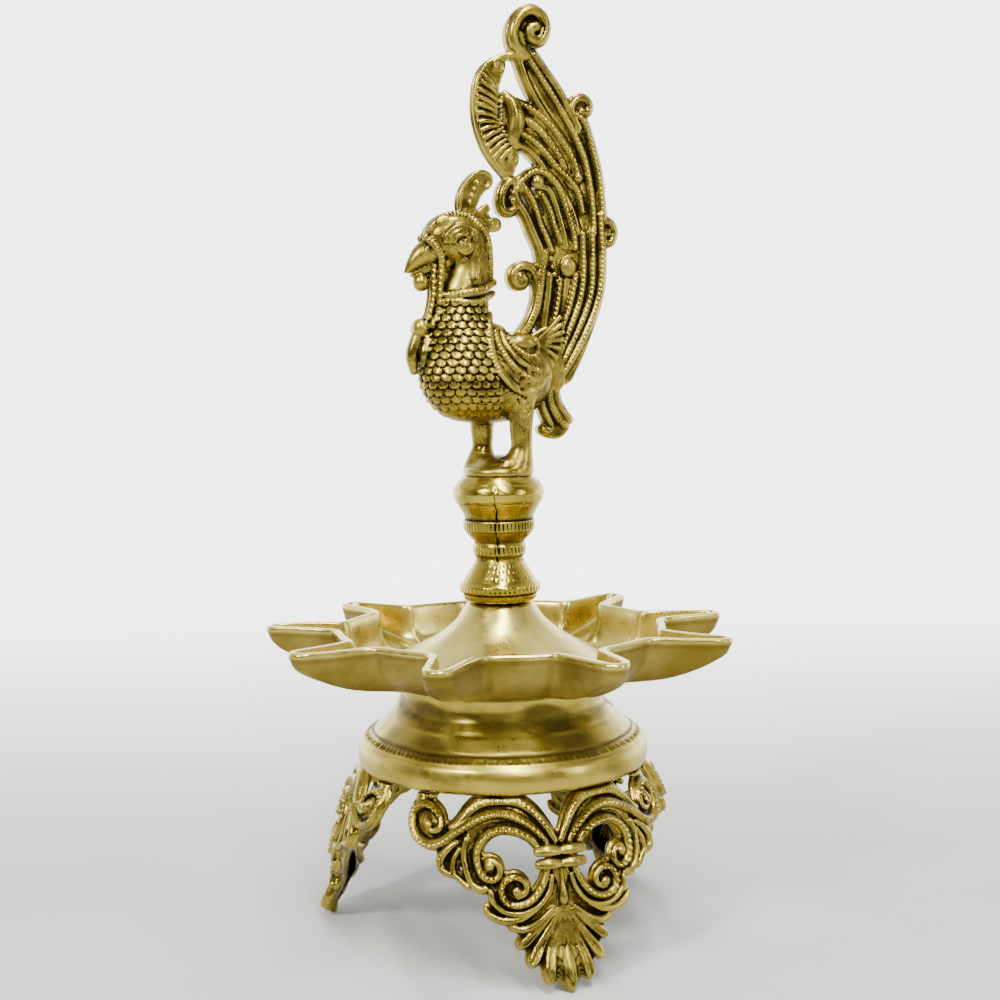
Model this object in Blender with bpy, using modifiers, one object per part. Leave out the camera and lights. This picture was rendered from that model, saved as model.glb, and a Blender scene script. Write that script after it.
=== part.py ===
"""Brass standing oil lamp (samai): three pierced scroll legs, bell pedestal, nine-spout oil plate with a central
cone, turned column and a peacock finial, held together by a tie rod with a washer and a nut under the pedestal.
Modelled at rest in metres, +Z up, feet on z = 0, lamp axis on the Z axis. The peacock faces -X."""

import math

import bmesh
import bpy
import numpy as np

MM = 0.001
GAP = 0.3  # clearance between pieces that touch

# Tie rod and bores
ROD_R = 2.0
BORE_R = 2.4
ROD_BOTTOM = 74.0
ROD_TOP = 162.0
WASHER_TOP = 84.4
WASHER_THICK = 1.6
WASHER_R = 9.0
NUT_HEIGHT = 5.0
NUT_ACROSS_FLATS = 10.0

# Pedestal
PEDESTAL_TOP = 87.7
RIM_BOTTOM = 59.0
RIM_R = 50.4

# Legs
LEG_AZIMUTHS = {"front": 18.0, "left": -102.0, "back": 138.0}  # degrees from -Y towards +X
LEG_THICK = 4.5
LEG_TOP = RIM_BOTTOM - GAP
LEG_SURFACE = [(-1, 66.3), (0, 66.5), (3, 67.0), (8, 65.2), (14, 62.0), (20, 61.4), (30, 60.8), (40, 58.4),
               (50, 55.2), (59, 50.2)]  # (z, radius of the outer face)
LUG_AT_U = 20.0
LUG_THICK = 4.0
LUG_DROP = 0.4
SCREW_CIRCLE_R = 43.0
SCREW_R = 1.5
SCREW_HOLE_R = 1.8
SCREW_HEAD_R = 2.75
SCREW_HEAD_H = 2.0

# Oil plate
SPOUTS = 9
SPOUT_PHASE = -14.0  # degrees from -Y towards +X
SPOUT_TIP_R = 82.5
SPOUT_ROOT_R = 57.0
SPOUT_ROOT_HALF = 8.0
SPOUT_TIP_HALF = 5.0
RIM_Z = 106.0
LIP = 2.8
PLATE_BOTTOM = 88.0
CONE_TOP = 114.7

# Peacock
BIRD_TURN = 18.0  # degrees that the bird's plane is turned from the X axis
BIRD_BASE = 158.6
TAIL_HALF_THICK = 3.7


def clear_scene():
    for obj in list(bpy.data.objects):
        bpy.data.objects.remove(obj, do_unlink=True)


def collection(name):
    made = bpy.data.collections.new(name)
    bpy.context.scene.collection.children.link(made)
    return made


def material(name, colour, rough):
    made = bpy.data.materials.new(name)
    made.use_nodes = True
    shader = made.node_tree.nodes["Principled BSDF"]
    shader.inputs["Base Color"].default_value = (*colour, 1.0)
    shader.inputs["Metallic"].default_value = 1.0
    shader.inputs["Roughness"].default_value = rough
    return made


def add_object(name, mesh, where, finish=None):
    obj = bpy.data.objects.new(name, mesh)
    where.objects.link(obj)
    if finish is not None:
        obj.data.materials.append(finish)
    return obj


def mesh_of(name, points, faces):
    """A mesh from points in millimetres."""
    mesh = bpy.data.meshes.new(name)
    mesh.from_pydata([(x * MM, y * MM, z * MM) for x, y, z in points], [], faces)
    mesh.update()
    return mesh


def turned(name, profile, steps, where, finish=None, closed=True):
    """A profile of (radius, z) turned about Z: down the outer side first, then back up inside."""
    count = len(profile)
    edges = [(i, i + 1) for i in range(count - 1)]
    if closed:
        edges.append((count - 1, 0))
    mesh = bpy.data.meshes.new(name)
    mesh.from_pydata([(r * MM, 0.0, z * MM) for r, z in profile], edges, [])
    obj = add_object(name, mesh, where, finish)
    screw = obj.modifiers.new("turned", "SCREW")
    screw.steps = steps
    screw.render_steps = steps
    screw.use_merge_vertices = True
    screw.merge_threshold = 1e-5
    screw.use_smooth_shade = False
    return obj


def cylinder_mesh(name, radius, low, high, steps, at=(0.0, 0.0)):
    shape = bmesh.new()
    bmesh.ops.create_cone(shape, cap_ends=True, segments=steps, radius1=radius * MM, radius2=radius * MM,
                          depth=(high - low) * MM)
    bmesh.ops.translate(shape, verts=shape.verts, vec=(at[0] * MM, at[1] * MM, (low + high) / 2 * MM))
    mesh = bpy.data.meshes.new(name)
    shape.to_mesh(mesh)
    shape.free()
    return mesh


def boolean(obj, other, operation):
    modifier = obj.modifiers.new(operation.lower(), "BOOLEAN")
    modifier.operation = operation
    modifier.solver = "EXACT"
    modifier.object = other


def hide(obj):
    obj.hide_render = True
    obj.display_type = "WIRE"


def bake(obj):
    """Replaces the object's mesh with its evaluated one and drops the modifiers."""
    bpy.context.view_layer.update()
    graph = bpy.context.evaluated_depsgraph_get()
    mesh = bpy.data.meshes.new_from_object(obj.evaluated_get(graph))
    obj.modifiers.clear()
    shape = bmesh.new()
    shape.from_mesh(mesh)
    bmesh.ops.triangulate(shape, faces=shape.faces)
    merge_slivers(shape, 0.02 * MM)
    shape.to_mesh(mesh)
    shape.free()
    obj.data = mesh
    return obj


def merge_slivers(shape, distance):
    """Merges points nearer than a distance and drops the faces that this flattens."""
    bmesh.ops.remove_doubles(shape, verts=shape.verts, dist=distance)
    bmesh.ops.dissolve_degenerate(shape, edges=shape.edges, dist=distance)
    bmesh.ops.triangulate(shape, faces=shape.faces)


def curve_plate(name, outlines, half_thick, resolution):
    """A flat plate mesh in millimetres from smooth closed outlines of (x, y); the first is the edge, the rest holes.
    A third item True in a point keeps its corner sharp."""
    curve = bpy.data.curves.new(name, "CURVE")
    curve.dimensions = "2D"
    curve.fill_mode = "BOTH"
    curve.extrude = half_thick
    curve.resolution_u = resolution
    for outline in outlines:
        spline = curve.splines.new("BEZIER")
        spline.bezier_points.add(len(outline) - 1)
        spline.use_cyclic_u = True
        for point, item in zip(spline.bezier_points, outline):
            point.co = (item[0], item[1], 0.0)
            kind = "VECTOR" if len(item) > 2 else "AUTO"
            point.handle_left_type = kind
            point.handle_right_type = kind
    holder = bpy.data.objects.new(name + "_outline", curve)
    bpy.context.scene.collection.objects.link(holder)
    bpy.context.view_layer.update()
    graph = bpy.context.evaluated_depsgraph_get()
    mesh = bpy.data.meshes.new_from_object(holder.evaluated_get(graph))
    bpy.data.objects.remove(holder, do_unlink=True)
    shape = bmesh.new()
    shape.from_mesh(mesh)
    bmesh.ops.remove_doubles(shape, verts=shape.verts, dist=1e-3)
    bmesh.ops.dissolve_limit(shape, angle_limit=0.01, verts=shape.verts, edges=shape.edges)
    return shape


def slice_shape(shape, axis, levels):
    """Cuts the shape's faces at levels along an axis, so that it can be bent."""
    normal = [0.0, 0.0, 0.0]
    normal[axis] = 1.0
    for level in levels:
        at = [0.0, 0.0, 0.0]
        at[axis] = level
        bmesh.ops.bisect_plane(shape, geom=shape.verts[:] + shape.edges[:] + shape.faces[:], dist=1e-5,
                               plane_co=at, plane_no=normal)


def finish_shape(shape, name, scale=MM):
    bmesh.ops.scale(shape, vec=(scale, scale, scale), verts=shape.verts)
    bmesh.ops.triangulate(shape, faces=shape.faces)
    bmesh.ops.recalc_face_normals(shape, faces=shape.faces)
    mesh = bpy.data.meshes.new(name)
    shape.to_mesh(mesh)
    shape.free()
    return mesh


def polar(radius, degrees, z):
    """The point at an angle measured from -Y towards +X."""
    angle = math.radians(degrees)
    return (radius * math.sin(angle), -radius * math.cos(angle), z)


# ------------------------------------------------------------------ pedestal

def build_pedestal(where, cutters, finish):
    profile = [(35.5, PEDESTAL_TOP), (35.4, 82.5), (36.3, 79.7), (39.0, 76.8), (41.6, 74.0), (44.5, 71.3),
               (46.3, 70.0), (47.3, 69.4), (48.8, 68.2), (50.0, 65.8), (RIM_R, 63.0), (50.2, 60.4),
               (49.2, RIM_BOTTOM), (39.5, RIM_BOTTOM), (39.5, 67.0), (37.6, 73.5), (33.0, 77.6), (32.4, 84.7),
               (BORE_R, 84.7), (BORE_R, PEDESTAL_TOP)]
    pedestal = turned("pedestal_bell", profile, 48, where, finish)
    for name, azimuth in LEG_AZIMUTHS.items():
        for side, suffix in ((-1, "a"), (1, "b")):
            x, y, _ = polar(SCREW_CIRCLE_R, azimuth + side * lug_degrees(), 0)
            mesh = cylinder_mesh(f"cut_rim_{name}_{suffix}", SCREW_HOLE_R, RIM_BOTTOM - 1, RIM_BOTTOM + 4.2, 16, (x, y))
            cutter = add_object(mesh.name, mesh, cutters)
            hide(cutter)
            boolean(pedestal, cutter, "DIFFERENCE")
    return bake(pedestal)


# ---------------------------------------------------------------------- legs

LEG_HALF_EDGE = [(0.0, 49.8, True), (5.5, 53.6), (11.0, LEG_TOP, True), (28.0, LEG_TOP, True), (31.2, 54.2),
                 (33.8, 51.4), (36.4, 54.2), (38.0, LEG_TOP, True), (45.5, LEG_TOP, True), (49.6, 54.5),
                 (50.4, 50.0), (47.0, 44.6), (41.0, 41.8), (39.8, 37.0), (34.0, 35.2), (30.5, 31.2), (25.4, 32.0),
                 (23.2, 29.0), (25.0, 25.4), (17.8, 20.4), (16.2, 15.0), (13.6, 8.8), (9.6, 7.6), (6.6, 3.6),
                 (2.0, 0.0, True)]
LEG_HOLE = [(20.4, 43.2), (15.0, 44.8), (9.8, 42.4), (8.0, 38.4), (8.8, 34.6), (10.6, 32.6), (15.0, 34.2),
            (18.2, 37.4)]


def lug_degrees():
    return math.degrees(LUG_AT_U / leg_radius(LEG_TOP))


def leg_radius(z):
    zs, radii = zip(*LEG_SURFACE)
    return float(np.interp(z, zs, radii))


def build_leg(name, azimuth, where, cutters, finish):
    mirrored = [(-p[0], *p[1:]) for p in LEG_HALF_EDGE[:0:-1]]
    edge = mirrored + LEG_HALF_EDGE
    holes = [LEG_HOLE, [(-u, z) for u, z in LEG_HOLE]]
    shape = curve_plate(name, [edge, *holes], LEG_THICK / 2, 2)
    slice_shape(shape, 0, [-43, -33, -23, -12, 0.0, 12, 23, 33, 43])
    slice_shape(shape, 1, [6, 13.5, 29.5, 40.5])
    merge_slivers(shape, 0.15)
    for vert in shape.verts:
        u, z, depth = vert.co
        radius = leg_radius(z)
        turn = azimuth + math.degrees(u / radius)
        vert.co = polar(radius - LEG_THICK / 2 + depth, turn, z)
    leg = add_object("leg_" + name, finish_shape(shape, "leg_" + name), where, finish)
    for side, suffix in ((-1, "a"), (1, "b")):
        turn = azimuth + side * lug_degrees()
        lug = bmesh.new()
        bmesh.ops.create_cube(lug, size=1.0)
        for vert in lug.verts:
            vert.co = (vert.co.x * 7.4 * MM, vert.co.y * 8.6 * MM, vert.co.z * LUG_THICK * MM)
        mesh = bpy.data.meshes.new(f"lug_{name}_{suffix}")
        lug.to_mesh(mesh)
        lug.free()
        tab = add_object(mesh.name, mesh, cutters)
        x, y, z = polar(44.2, turn, LEG_TOP - LUG_DROP - LUG_THICK / 2)
        tab.location = (x * MM, y * MM, z * MM)
        tab.rotation_euler = (0, 0, math.radians(turn))
        hide(tab)
        boolean(leg, tab, "UNION")
        x, y, _ = polar(SCREW_CIRCLE_R, turn, 0)
        mesh = cylinder_mesh(f"cut_lug_{name}_{suffix}", SCREW_HOLE_R, LEG_TOP - 8, LEG_TOP + 2, 16, (x, y))
        cutter = add_object(mesh.name, mesh, cutters)
        hide(cutter)
        boolean(leg, cutter, "DIFFERENCE")
    return bake(leg)


def build_leg_screw(name, azimuth, side, where, finish):
    head_top = LEG_TOP - LUG_THICK - LUG_DROP - GAP
    profile = [(0.0, RIM_BOTTOM + 3.6), (SCREW_R, RIM_BOTTOM + 3.6), (SCREW_R, head_top), (SCREW_HEAD_R, head_top),
               (SCREW_HEAD_R, head_top - SCREW_HEAD_H), (0.0, head_top - SCREW_HEAD_H)]
    screw = turned(name, profile, 16, where, finish, closed=False)
    x, y, _ = polar(SCREW_CIRCLE_R, azimuth + side * lug_degrees(), 0)
    screw.location = (x * MM, y * MM, 0.0)
    return screw


# ----------------------------------------------------------------- oil plate

def spout_edge(phi, inset):
    """Plan radius of the plate's edge at phi degrees from a spout's middle, set in by inset."""
    phi = abs(phi)
    root_half = SPOUT_ROOT_HALF - inset
    tip_half = SPOUT_TIP_HALF - inset
    tip_centre = SPOUT_TIP_R - SPOUT_TIP_HALF
    between = SPOUT_ROOT_R - inset
    slope = math.tan(math.radians(phi))
    if slope < 1e-9:
        return tip_centre + tip_half
    across = math.sin(math.radians(phi)) * tip_centre
    if slope * tip_centre <= tip_half:
        along = math.cos(math.radians(phi)) * tip_centre
        return along + math.sqrt(max(tip_half ** 2 - across ** 2, 0.0))
    taper = (tip_half - root_half) / (tip_centre - SPOUT_ROOT_R)
    along = (root_half - taper * SPOUT_ROOT_R) / (slope - taper)
    return max(along / math.cos(math.radians(phi)), between)


def plate_column(phi):
    """(radius, z) down one column of the plate, from the cone's foot over the lip to the underside."""
    inner = spout_edge(phi, LIP)
    outer = spout_edge(phi, 0.0)
    reach = (inner - (SPOUT_ROOT_R - LIP)) / (SPOUT_TIP_R - SPOUT_ROOT_R)
    low = 91.2
    rise = low + 11.0 * reach
    points = [(44.0, 92.6)]
    points.append((44.0 + 0.42 * (inner - 44.0), low + 3.2 * reach))
    points.append((44.0 + 0.84 * (inner - 44.0), low + (rise - low) * 0.72 + 3.0 * (1 - reach)))
    points.append((inner - 0.6, rise + 2.0 + 11.0 * (1 - reach)))
    points.append((inner + 0.3, RIM_Z))
    points.append((outer - 0.5, RIM_Z))
    points.append((outer, RIM_Z - 1.2))
    under = 99.6 - 3.2 * (1 - reach)
    points.append((outer - 1.6, under))
    points.append((40.0 + 0.55 * (outer - 40.0), 90.6 + 1.4 * reach))
    points.append((40.0, PLATE_BOTTOM + 0.2))
    return points


def bridge(faces, upper, lower):
    """Triangles between two rings given as lists of (angle, index), in rising angle."""
    a, b = 0, 0
    while a < len(upper) or b < len(lower):
        next_a = upper[(a + 1) % len(upper)][0] + 360.0 * ((a + 1) // len(upper))
        next_b = lower[(b + 1) % len(lower)][0] + 360.0 * ((b + 1) // len(lower))
        here_a = upper[a % len(upper)][1]
        here_b = lower[b % len(lower)][1]
        if b >= len(lower) or (a < len(upper) and next_a <= next_b):
            faces.append((here_a, here_b, upper[(a + 1) % len(upper)][1]))
            a += 1
        else:
            faces.append((here_a, here_b, lower[(b + 1) % len(lower)][1]))
            b += 1


def build_plate(where, finish):
    step = 360.0 / SPOUTS
    fine = [-13.0, -8.0, -5.8, -4.0, -2.8, 0.0, 2.8, 4.0, 5.8, 8.0, 13.0, step / 2]
    coarse = [-13.0, -4.0, 4.0, 13.0]
    points = []
    faces = []

    def ring(phis, place):
        made = []
        for spout in range(SPOUTS):
            for phi in phis:
                turn = SPOUT_PHASE + spout * step + phi
                radius, z = place(phi)
                made.append((turn, len(points)))
                points.append(polar(radius, turn, z))
        return made

    inside = [(BORE_R, CONE_TOP), (11.2, CONE_TOP), (14.4, 109.5), (19.5, 104.4), (27.7, 99.8), (36.0, 95.8)]
    below = [(33.0, PLATE_BOTTOM), (30.0, PLATE_BOTTOM), (28.4, 94.4), (20.6, 100.0), (14.6, 104.6), (9.6, 110.8),
             (BORE_R, 111.2)]
    rings = [ring(coarse, lambda phi, p=p: p) for p in inside]
    count = len(plate_column(0.0))
    rings += [ring(fine, lambda phi, k=k: plate_column(phi)[k]) for k in range(count)]
    rings += [ring(coarse, lambda phi, p=p: p) for p in below]
    for upper, lower in zip(rings, rings[1:] + rings[:1]):
        bridge(faces, upper, lower)
    shape = bmesh.new()
    shape.from_mesh(mesh_of("oil_plate", points, faces))
    bmesh.ops.recalc_face_normals(shape, faces=shape.faces)
    mesh = bpy.data.meshes.new("oil_plate")
    shape.to_mesh(mesh)
    shape.free()
    return add_object("oil_plate", mesh, where, finish)


# -------------------------------------------------------------------- column

def build_column(where, finish):
    profile = [(12.2, 158.3), (14.3, 157.4), (15.1, 155.4), (15.8, 152.9), (15.4, 150.0), (14.4, 148.4), (12.6, 145.4),
               (11.6, 143.2), (12.2, 142.6), (12.2, 139.8), (10.4, 137.4), (8.6, 134.9), (9.0, 134.4), (9.0, 131.0),
               (7.9, 129.8), (9.2, 127.6), (13.0, 121.4), (13.9, 120.6), (13.9, 118.2), (12.9, 117.6), (12.6, 116.0),
               (11.4, CONE_TOP + GAP), (BORE_R, CONE_TOP + GAP), (BORE_R, 158.3)]
    return turned("column", profile, 36, where, finish)


# ---------------------------------------------------- tie rod, washer and nut

def build_tie_rod(where, finish):
    profile = [(0.0, ROD_TOP), (ROD_R - 0.4, ROD_TOP), (ROD_R, ROD_TOP - 0.4), (ROD_R, ROD_BOTTOM + 0.4),
               (ROD_R - 0.4, ROD_BOTTOM), (0.0, ROD_BOTTOM)]
    return turned("tie_rod", profile, 20, where, finish, closed=False)


def build_washer(where, finish):
    low = WASHER_TOP - WASHER_THICK
    profile = [(WASHER_R, WASHER_TOP), (WASHER_R, low), (BORE_R, low), (BORE_R, WASHER_TOP)]
    return turned("tie_washer", profile, 32, where, finish)


def build_nut(where, finish):
    top = WASHER_TOP - WASHER_THICK - GAP
    corner = NUT_ACROSS_FLATS / 2 / math.cos(math.radians(30))
    hexagon = [(corner * math.cos(math.radians(60 * k)), corner * math.sin(math.radians(60 * k))) for k in range(6)]
    bore = [(BORE_R * math.cos(math.radians(18 * k)), BORE_R * math.sin(math.radians(18 * k))) for k in range(20)]
    points = []
    for z in (top, top - NUT_HEIGHT):
        points += [(x, y, z) for x, y in hexagon]
        points += [(x, y, z) for x, y in bore]
    faces = []
    ring_out = [(60.0 * k, k) for k in range(6)]
    ring_in = [(18.0 * k, 6 + k) for k in range(20)]
    bridge(faces, ring_in, ring_out)
    bridge(faces, [(a, i + 26) for a, i in ring_out], [(a, i + 26) for a, i in ring_in])
    for count, start in ((6, 0), (20, 6)):
        for k in range(count):
            a, b = start + k, start + (k + 1) % count
            faces.append((a, b, b + 26, a + 26) if start == 0 else (b, a, a + 26, b + 26))
    shape = bmesh.new()
    shape.from_mesh(mesh_of("tie_nut", points, faces))
    bmesh.ops.recalc_face_normals(shape, faces=shape.faces)
    mesh = bpy.data.meshes.new("tie_nut")
    shape.to_mesh(mesh)
    shape.free()
    return add_object("tie_nut", mesh, where, finish)


# ------------------------------------------------------------------- peacock

def bird_point(along, z, out):
    """From the bird's own plane (along towards the tail, z, out towards its left side) to the lamp."""
    turn = math.radians(BIRD_TURN)
    return (along * math.cos(turn) + out * math.sin(turn), along * math.sin(turn) - out * math.cos(turn), z)


def loft(name, sections, sides):
    """A closed skin through elliptical sections ((top), (bottom), half width out of the bird's plane)."""
    points = []
    for (s1, z1), (s2, z2), half in sections:
        for k in range(sides):
            angle = 2 * math.pi * k / sides
            mix = 0.5 + 0.5 * math.cos(angle)
            along = s2 + (s1 - s2) * mix
            z = z2 + (z1 - z2) * mix
            points.append(bird_point(along, z, half * math.sin(angle)))
    faces = []
    for row in range(len(sections) - 1):
        for k in range(sides):
            a = row * sides + k
            b = row * sides + (k + 1) % sides
            faces.append((a, b, b + sides, a + sides))
    faces.append(tuple(range(sides)))
    last = (len(sections) - 1) * sides
    faces.append(tuple(range(last + sides - 1, last - 1, -1)))
    shape = bmesh.new()
    shape.from_mesh(mesh_of(name, points, faces))
    bmesh.ops.triangulate(shape, faces=shape.faces)
    bmesh.ops.recalc_face_normals(shape, faces=shape.faces)
    mesh = bpy.data.meshes.new(name)
    shape.to_mesh(mesh)
    shape.free()
    return mesh


def ball(name, centre, radii, rings=8, segments=12):
    shape = bmesh.new()
    bmesh.ops.create_uvsphere(shape, u_segments=segments, v_segments=rings, radius=1.0)
    for vert in shape.verts:
        x, y, z = vert.co
        vert.co = bird_point(centre[0] + x * radii[0], centre[1] + z * radii[1], centre[2] + y * radii[2])
    return finish_shape(shape, name)


def build_peacock_body(where, cutters, finish):
    trunk = [((7.0, 207.0), (22.0, 185.0), 6.5), ((2.0, 207.6), (11.0, 177.8), 10.5), ((-0.5, 208.8), (-2.0, 175.6), 12.5),
             ((-1.0, 209.4), (-14.0, 176.8), 13.2), ((-1.4, 210.6), (-23.6, 184.0), 13.2),
             ((-1.7, 212.2), (-27.0, 193.5), 12.4), ((-1.9, 214.6), (-26.0, 203.0), 10.8),
             ((-1.6, 218.0), (-22.5, 211.5), 9.2), ((-0.6, 222.0), (-19.5, 219.0), 8.0),
             ((-0.6, 228.5), (-14.5, 227.5), 6.4), ((-1.4, 236.5), (-14.0, 234.0), 6.2)]
    body = add_object("peacock_body", loft("peacock_body", trunk, 16), where, finish)
    extras = [ball("head", (-14.2, 239.4, 0.0), (11.2, 9.6, 7.6), 10, 14)]
    extras.append(loft("beak", [((-19.0, 241.0), (-22.0, 229.0), 5.0), ((-24.5, 236.5), (-25.5, 227.6), 3.8),
                                ((-28.5, 231.6), (-29.0, 226.2), 2.4), ((-31.9, 227.4), (-31.7, 226.3), 0.8)], 10))
    extras.append(ball("chin_bead", (-27.2, 224.2, 0.0), (2.9, 2.9, 2.9)))
    extras.append(loft("strands", [((-22.5, 230.5), (-27.5, 229.5), 3.0), ((-21.8, 222.0), (-25.6, 222.0), 3.4),
                                   ((-22.0, 214.0), (-26.4, 214.4), 3.2), ((-22.4, 207.0), (-27.0, 207.4), 3.2)], 10))
    extras.append(ball("chest_bead", (-26.6, 207.4, 0.0), (3.0, 3.2, 3.6)))
    extras.append(loft("pendant", [((-23.0, 206.0), (-28.0, 206.4), 2.6), ((-24.0, 200.0), (-30.6, 200.6), 3.2),
                                   ((-24.0, 195.0), (-30.4, 195.6), 2.6), ((-24.5, 193.4), (-29.4, 193.6), 1.8)], 10))
    crest = curve_plate("crest", [[(-17.5, 245.5), (-13.4, 252.2), (-11.0, 258.4), (-5.6, 261.6), (-1.4, 260.0),
                                   (-1.3, 256.0), (-4.2, 254.8), (-4.2, 251.2), (-1.6, 249.6), (-1.2, 247.2),
                                   (1.4, 245.0), (0.8, 240.6), (-2.4, 238.8), (-6.0, 238.6), (-12.0, 241.0)]], 2.1, 2)
    for vert in crest.verts:
        vert.co = bird_point(*vert.co)
    extras.append(finish_shape(crest, "crest"))
    near = [((10.4, 188.0), (3.4, 188.0), 3.2), ((10.2, 178.0), (2.6, 178.0), 3.6), ((9.2, 170.0), (2.4, 170.0), 3.2),
            ((9.6, 164.5), (0.8, 164.5), 3.8), ((10.4, 160.6), (-0.8, 160.6), 4.6)]
    extras.append(leg_loft("near_leg", near, 6.2, 0.0))
    extras.append(leg_loft("far_leg", near, -6.2, -8.6))
    extras.append(cylinder_mesh("bird_base", 12.8, BIRD_BASE, 163.2, 32))
    for mesh in extras:
        piece = add_object("join_" + mesh.name, mesh, cutters)
        hide(piece)
        boolean(body, piece, "UNION")
    socket = cylinder_mesh("cut_bird_socket", BORE_R, BIRD_BASE - 2, ROD_TOP + GAP, 20)
    cutter = add_object("cut_bird_socket", socket, cutters)
    hide(cutter)
    boolean(body, cutter, "DIFFERENCE")
    return bake(body)


def leg_loft(name, sections, out, shift):
    """A bird's leg: the loft's sections moved out of the bird's plane."""
    mesh = loft(name, [((a + shift, za), (b + shift, zb), half) for (a, za), (b, zb), half in sections], 12)
    dx, dy, _ = bird_point(0.0, 0.0, out)
    for vert in mesh.vertices:
        vert.co.x += dx * MM
        vert.co.y += dy * MM
    return mesh


TAIL_EDGE = [(7.4, 207.3, True), (11.4, 210.4), (13.4, 215.5), (13.2, 219.8), (8.6, 221.8), (6.0, 225.4), (8.4, 229.2),
             (13.4, 230.2), (17.0, 228.6, True), (16.5, 233.5), (14.4, 240.0), (9.2, 250.4, True), (7.0, 246.6),
             (3.4, 245.6), (0.9, 248.4), (2.4, 255.4), (4.6, 259.0, True), (-2.6, 267.6), (-6.8, 279.0),
             (-6.6, 290.0), (-2.4, 299.0), (4.0, 302.4, True), (4.6, 309.4), (8.6, 315.2), (14.6, 317.0), (20.0, 313.4),
             (20.0, 306.0), (15.6, 301.4, True), (20.4, 294.4), (26.2, 285.6, True), (30.6, 288.6), (35.6, 286.6),
             (36.0, 281.4), (34.2, 279.0, True), (38.4, 264.0), (41.4, 246.2, True), (45.0, 243.6), (45.0, 239.2),
             (41.8, 236.0, True), (41.2, 225.0), (39.2, 211.0), (33.6, 199.4), (25.8, 188.8), (24.8, 185.8),
             (27.6, 180.0), (28.6, 174.6), (24.4, 169.8), (19.0, 168.6), (14.4, 171.2), (14.6, 175.4),
             (18.6, 175.4), (20.4, 179.0), (22.4, 185.3, True)]
TAIL_HOLES = [[(3.0, 290.6), (6.4, 292.4), (12.2, 289.0), (16.2, 283.4), (10.4, 284.6), (4.4, 287.4)],
              [(8.4, 269.4), (12.4, 270.0), (17.0, 264.4), (13.6, 261.6), (10.2, 259.8), (10.2, 264.8)]]


def build_peacock_tail(where, finish):
    shape = curve_plate("tail", [TAIL_EDGE, *TAIL_HOLES], TAIL_HALF_THICK, 3)
    for vert in shape.verts:
        vert.co = bird_point(*vert.co)
    return add_object("peacock_tail", finish_shape(shape, "peacock_tail"), where, finish)


def build():
    clear_scene()
    lamp = collection("brass_oil_lamp")
    cutters = collection("brass_oil_lamp_cutters")
    polished = (0.72, 0.52, 0.17)
    antique = (0.50, 0.34, 0.10)
    build_pedestal(lamp, cutters, material("pedestal_polished_brass", polished, 0.28))
    for name, azimuth in LEG_AZIMUTHS.items():
        build_leg(name, azimuth, lamp, cutters, material(f"leg_{name}_antiqued_brass", antique, 0.38))
        for side, suffix in ((-1, "a"), (1, "b")):
            screw = f"leg_screw_{name}_{suffix}"
            build_leg_screw(screw, azimuth, side, lamp, material(screw + "_steel", (0.45, 0.45, 0.46), 0.35))
    build_plate(lamp, material("plate_polished_brass", polished, 0.26))
    build_column(lamp, material("column_polished_brass", polished, 0.25))
    build_tie_rod(lamp, material("tie_rod_steel", (0.42, 0.42, 0.44), 0.4))
    build_washer(lamp, material("washer_steel", (0.5, 0.5, 0.52), 0.35))
    build_nut(lamp, material("nut_brass", antique, 0.35))
    build_peacock_body(lamp, cutters, material("peacock_antiqued_brass", antique, 0.36))
    build_peacock_tail(lamp, material("tail_antiqued_brass", antique, 0.36))
    for obj in list(cutters.objects):
        bpy.data.objects.remove(obj, do_unlink=True)


build()
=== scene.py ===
"""Brass standing oil lamp (samai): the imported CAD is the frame, and the pieces below are its finished
surfaces. Shapes are worked out in mm on the lamp's axes and put into metres by make_piece."""

import math

import bpy
import numpy as np
from mathutils import Matrix


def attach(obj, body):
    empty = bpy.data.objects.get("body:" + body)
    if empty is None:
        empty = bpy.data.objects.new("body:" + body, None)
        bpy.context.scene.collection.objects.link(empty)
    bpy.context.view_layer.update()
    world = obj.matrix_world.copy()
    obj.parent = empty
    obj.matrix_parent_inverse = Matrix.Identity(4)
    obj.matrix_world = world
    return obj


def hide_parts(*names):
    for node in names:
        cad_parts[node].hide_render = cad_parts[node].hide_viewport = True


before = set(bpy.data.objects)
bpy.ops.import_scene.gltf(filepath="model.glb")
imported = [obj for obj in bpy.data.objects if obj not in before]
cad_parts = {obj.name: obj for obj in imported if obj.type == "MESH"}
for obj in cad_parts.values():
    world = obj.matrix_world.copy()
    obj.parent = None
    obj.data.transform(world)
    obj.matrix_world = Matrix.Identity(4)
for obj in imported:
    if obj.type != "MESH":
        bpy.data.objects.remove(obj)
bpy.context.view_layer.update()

MM = 0.001
BORE_R = 2.4  # clearance hole for the tie rod


# ----------------------------------------------------------------- materials

def linear(code):
    """An sRGB hex colour as linear RGBA."""
    channels = [int(code[i:i + 2], 16) / 255.0 for i in (1, 3, 5)]
    return (*[c / 12.92 if c <= 0.04045 else ((c + 0.055) / 1.055) ** 2.4 for c in channels], 1.0)


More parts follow.
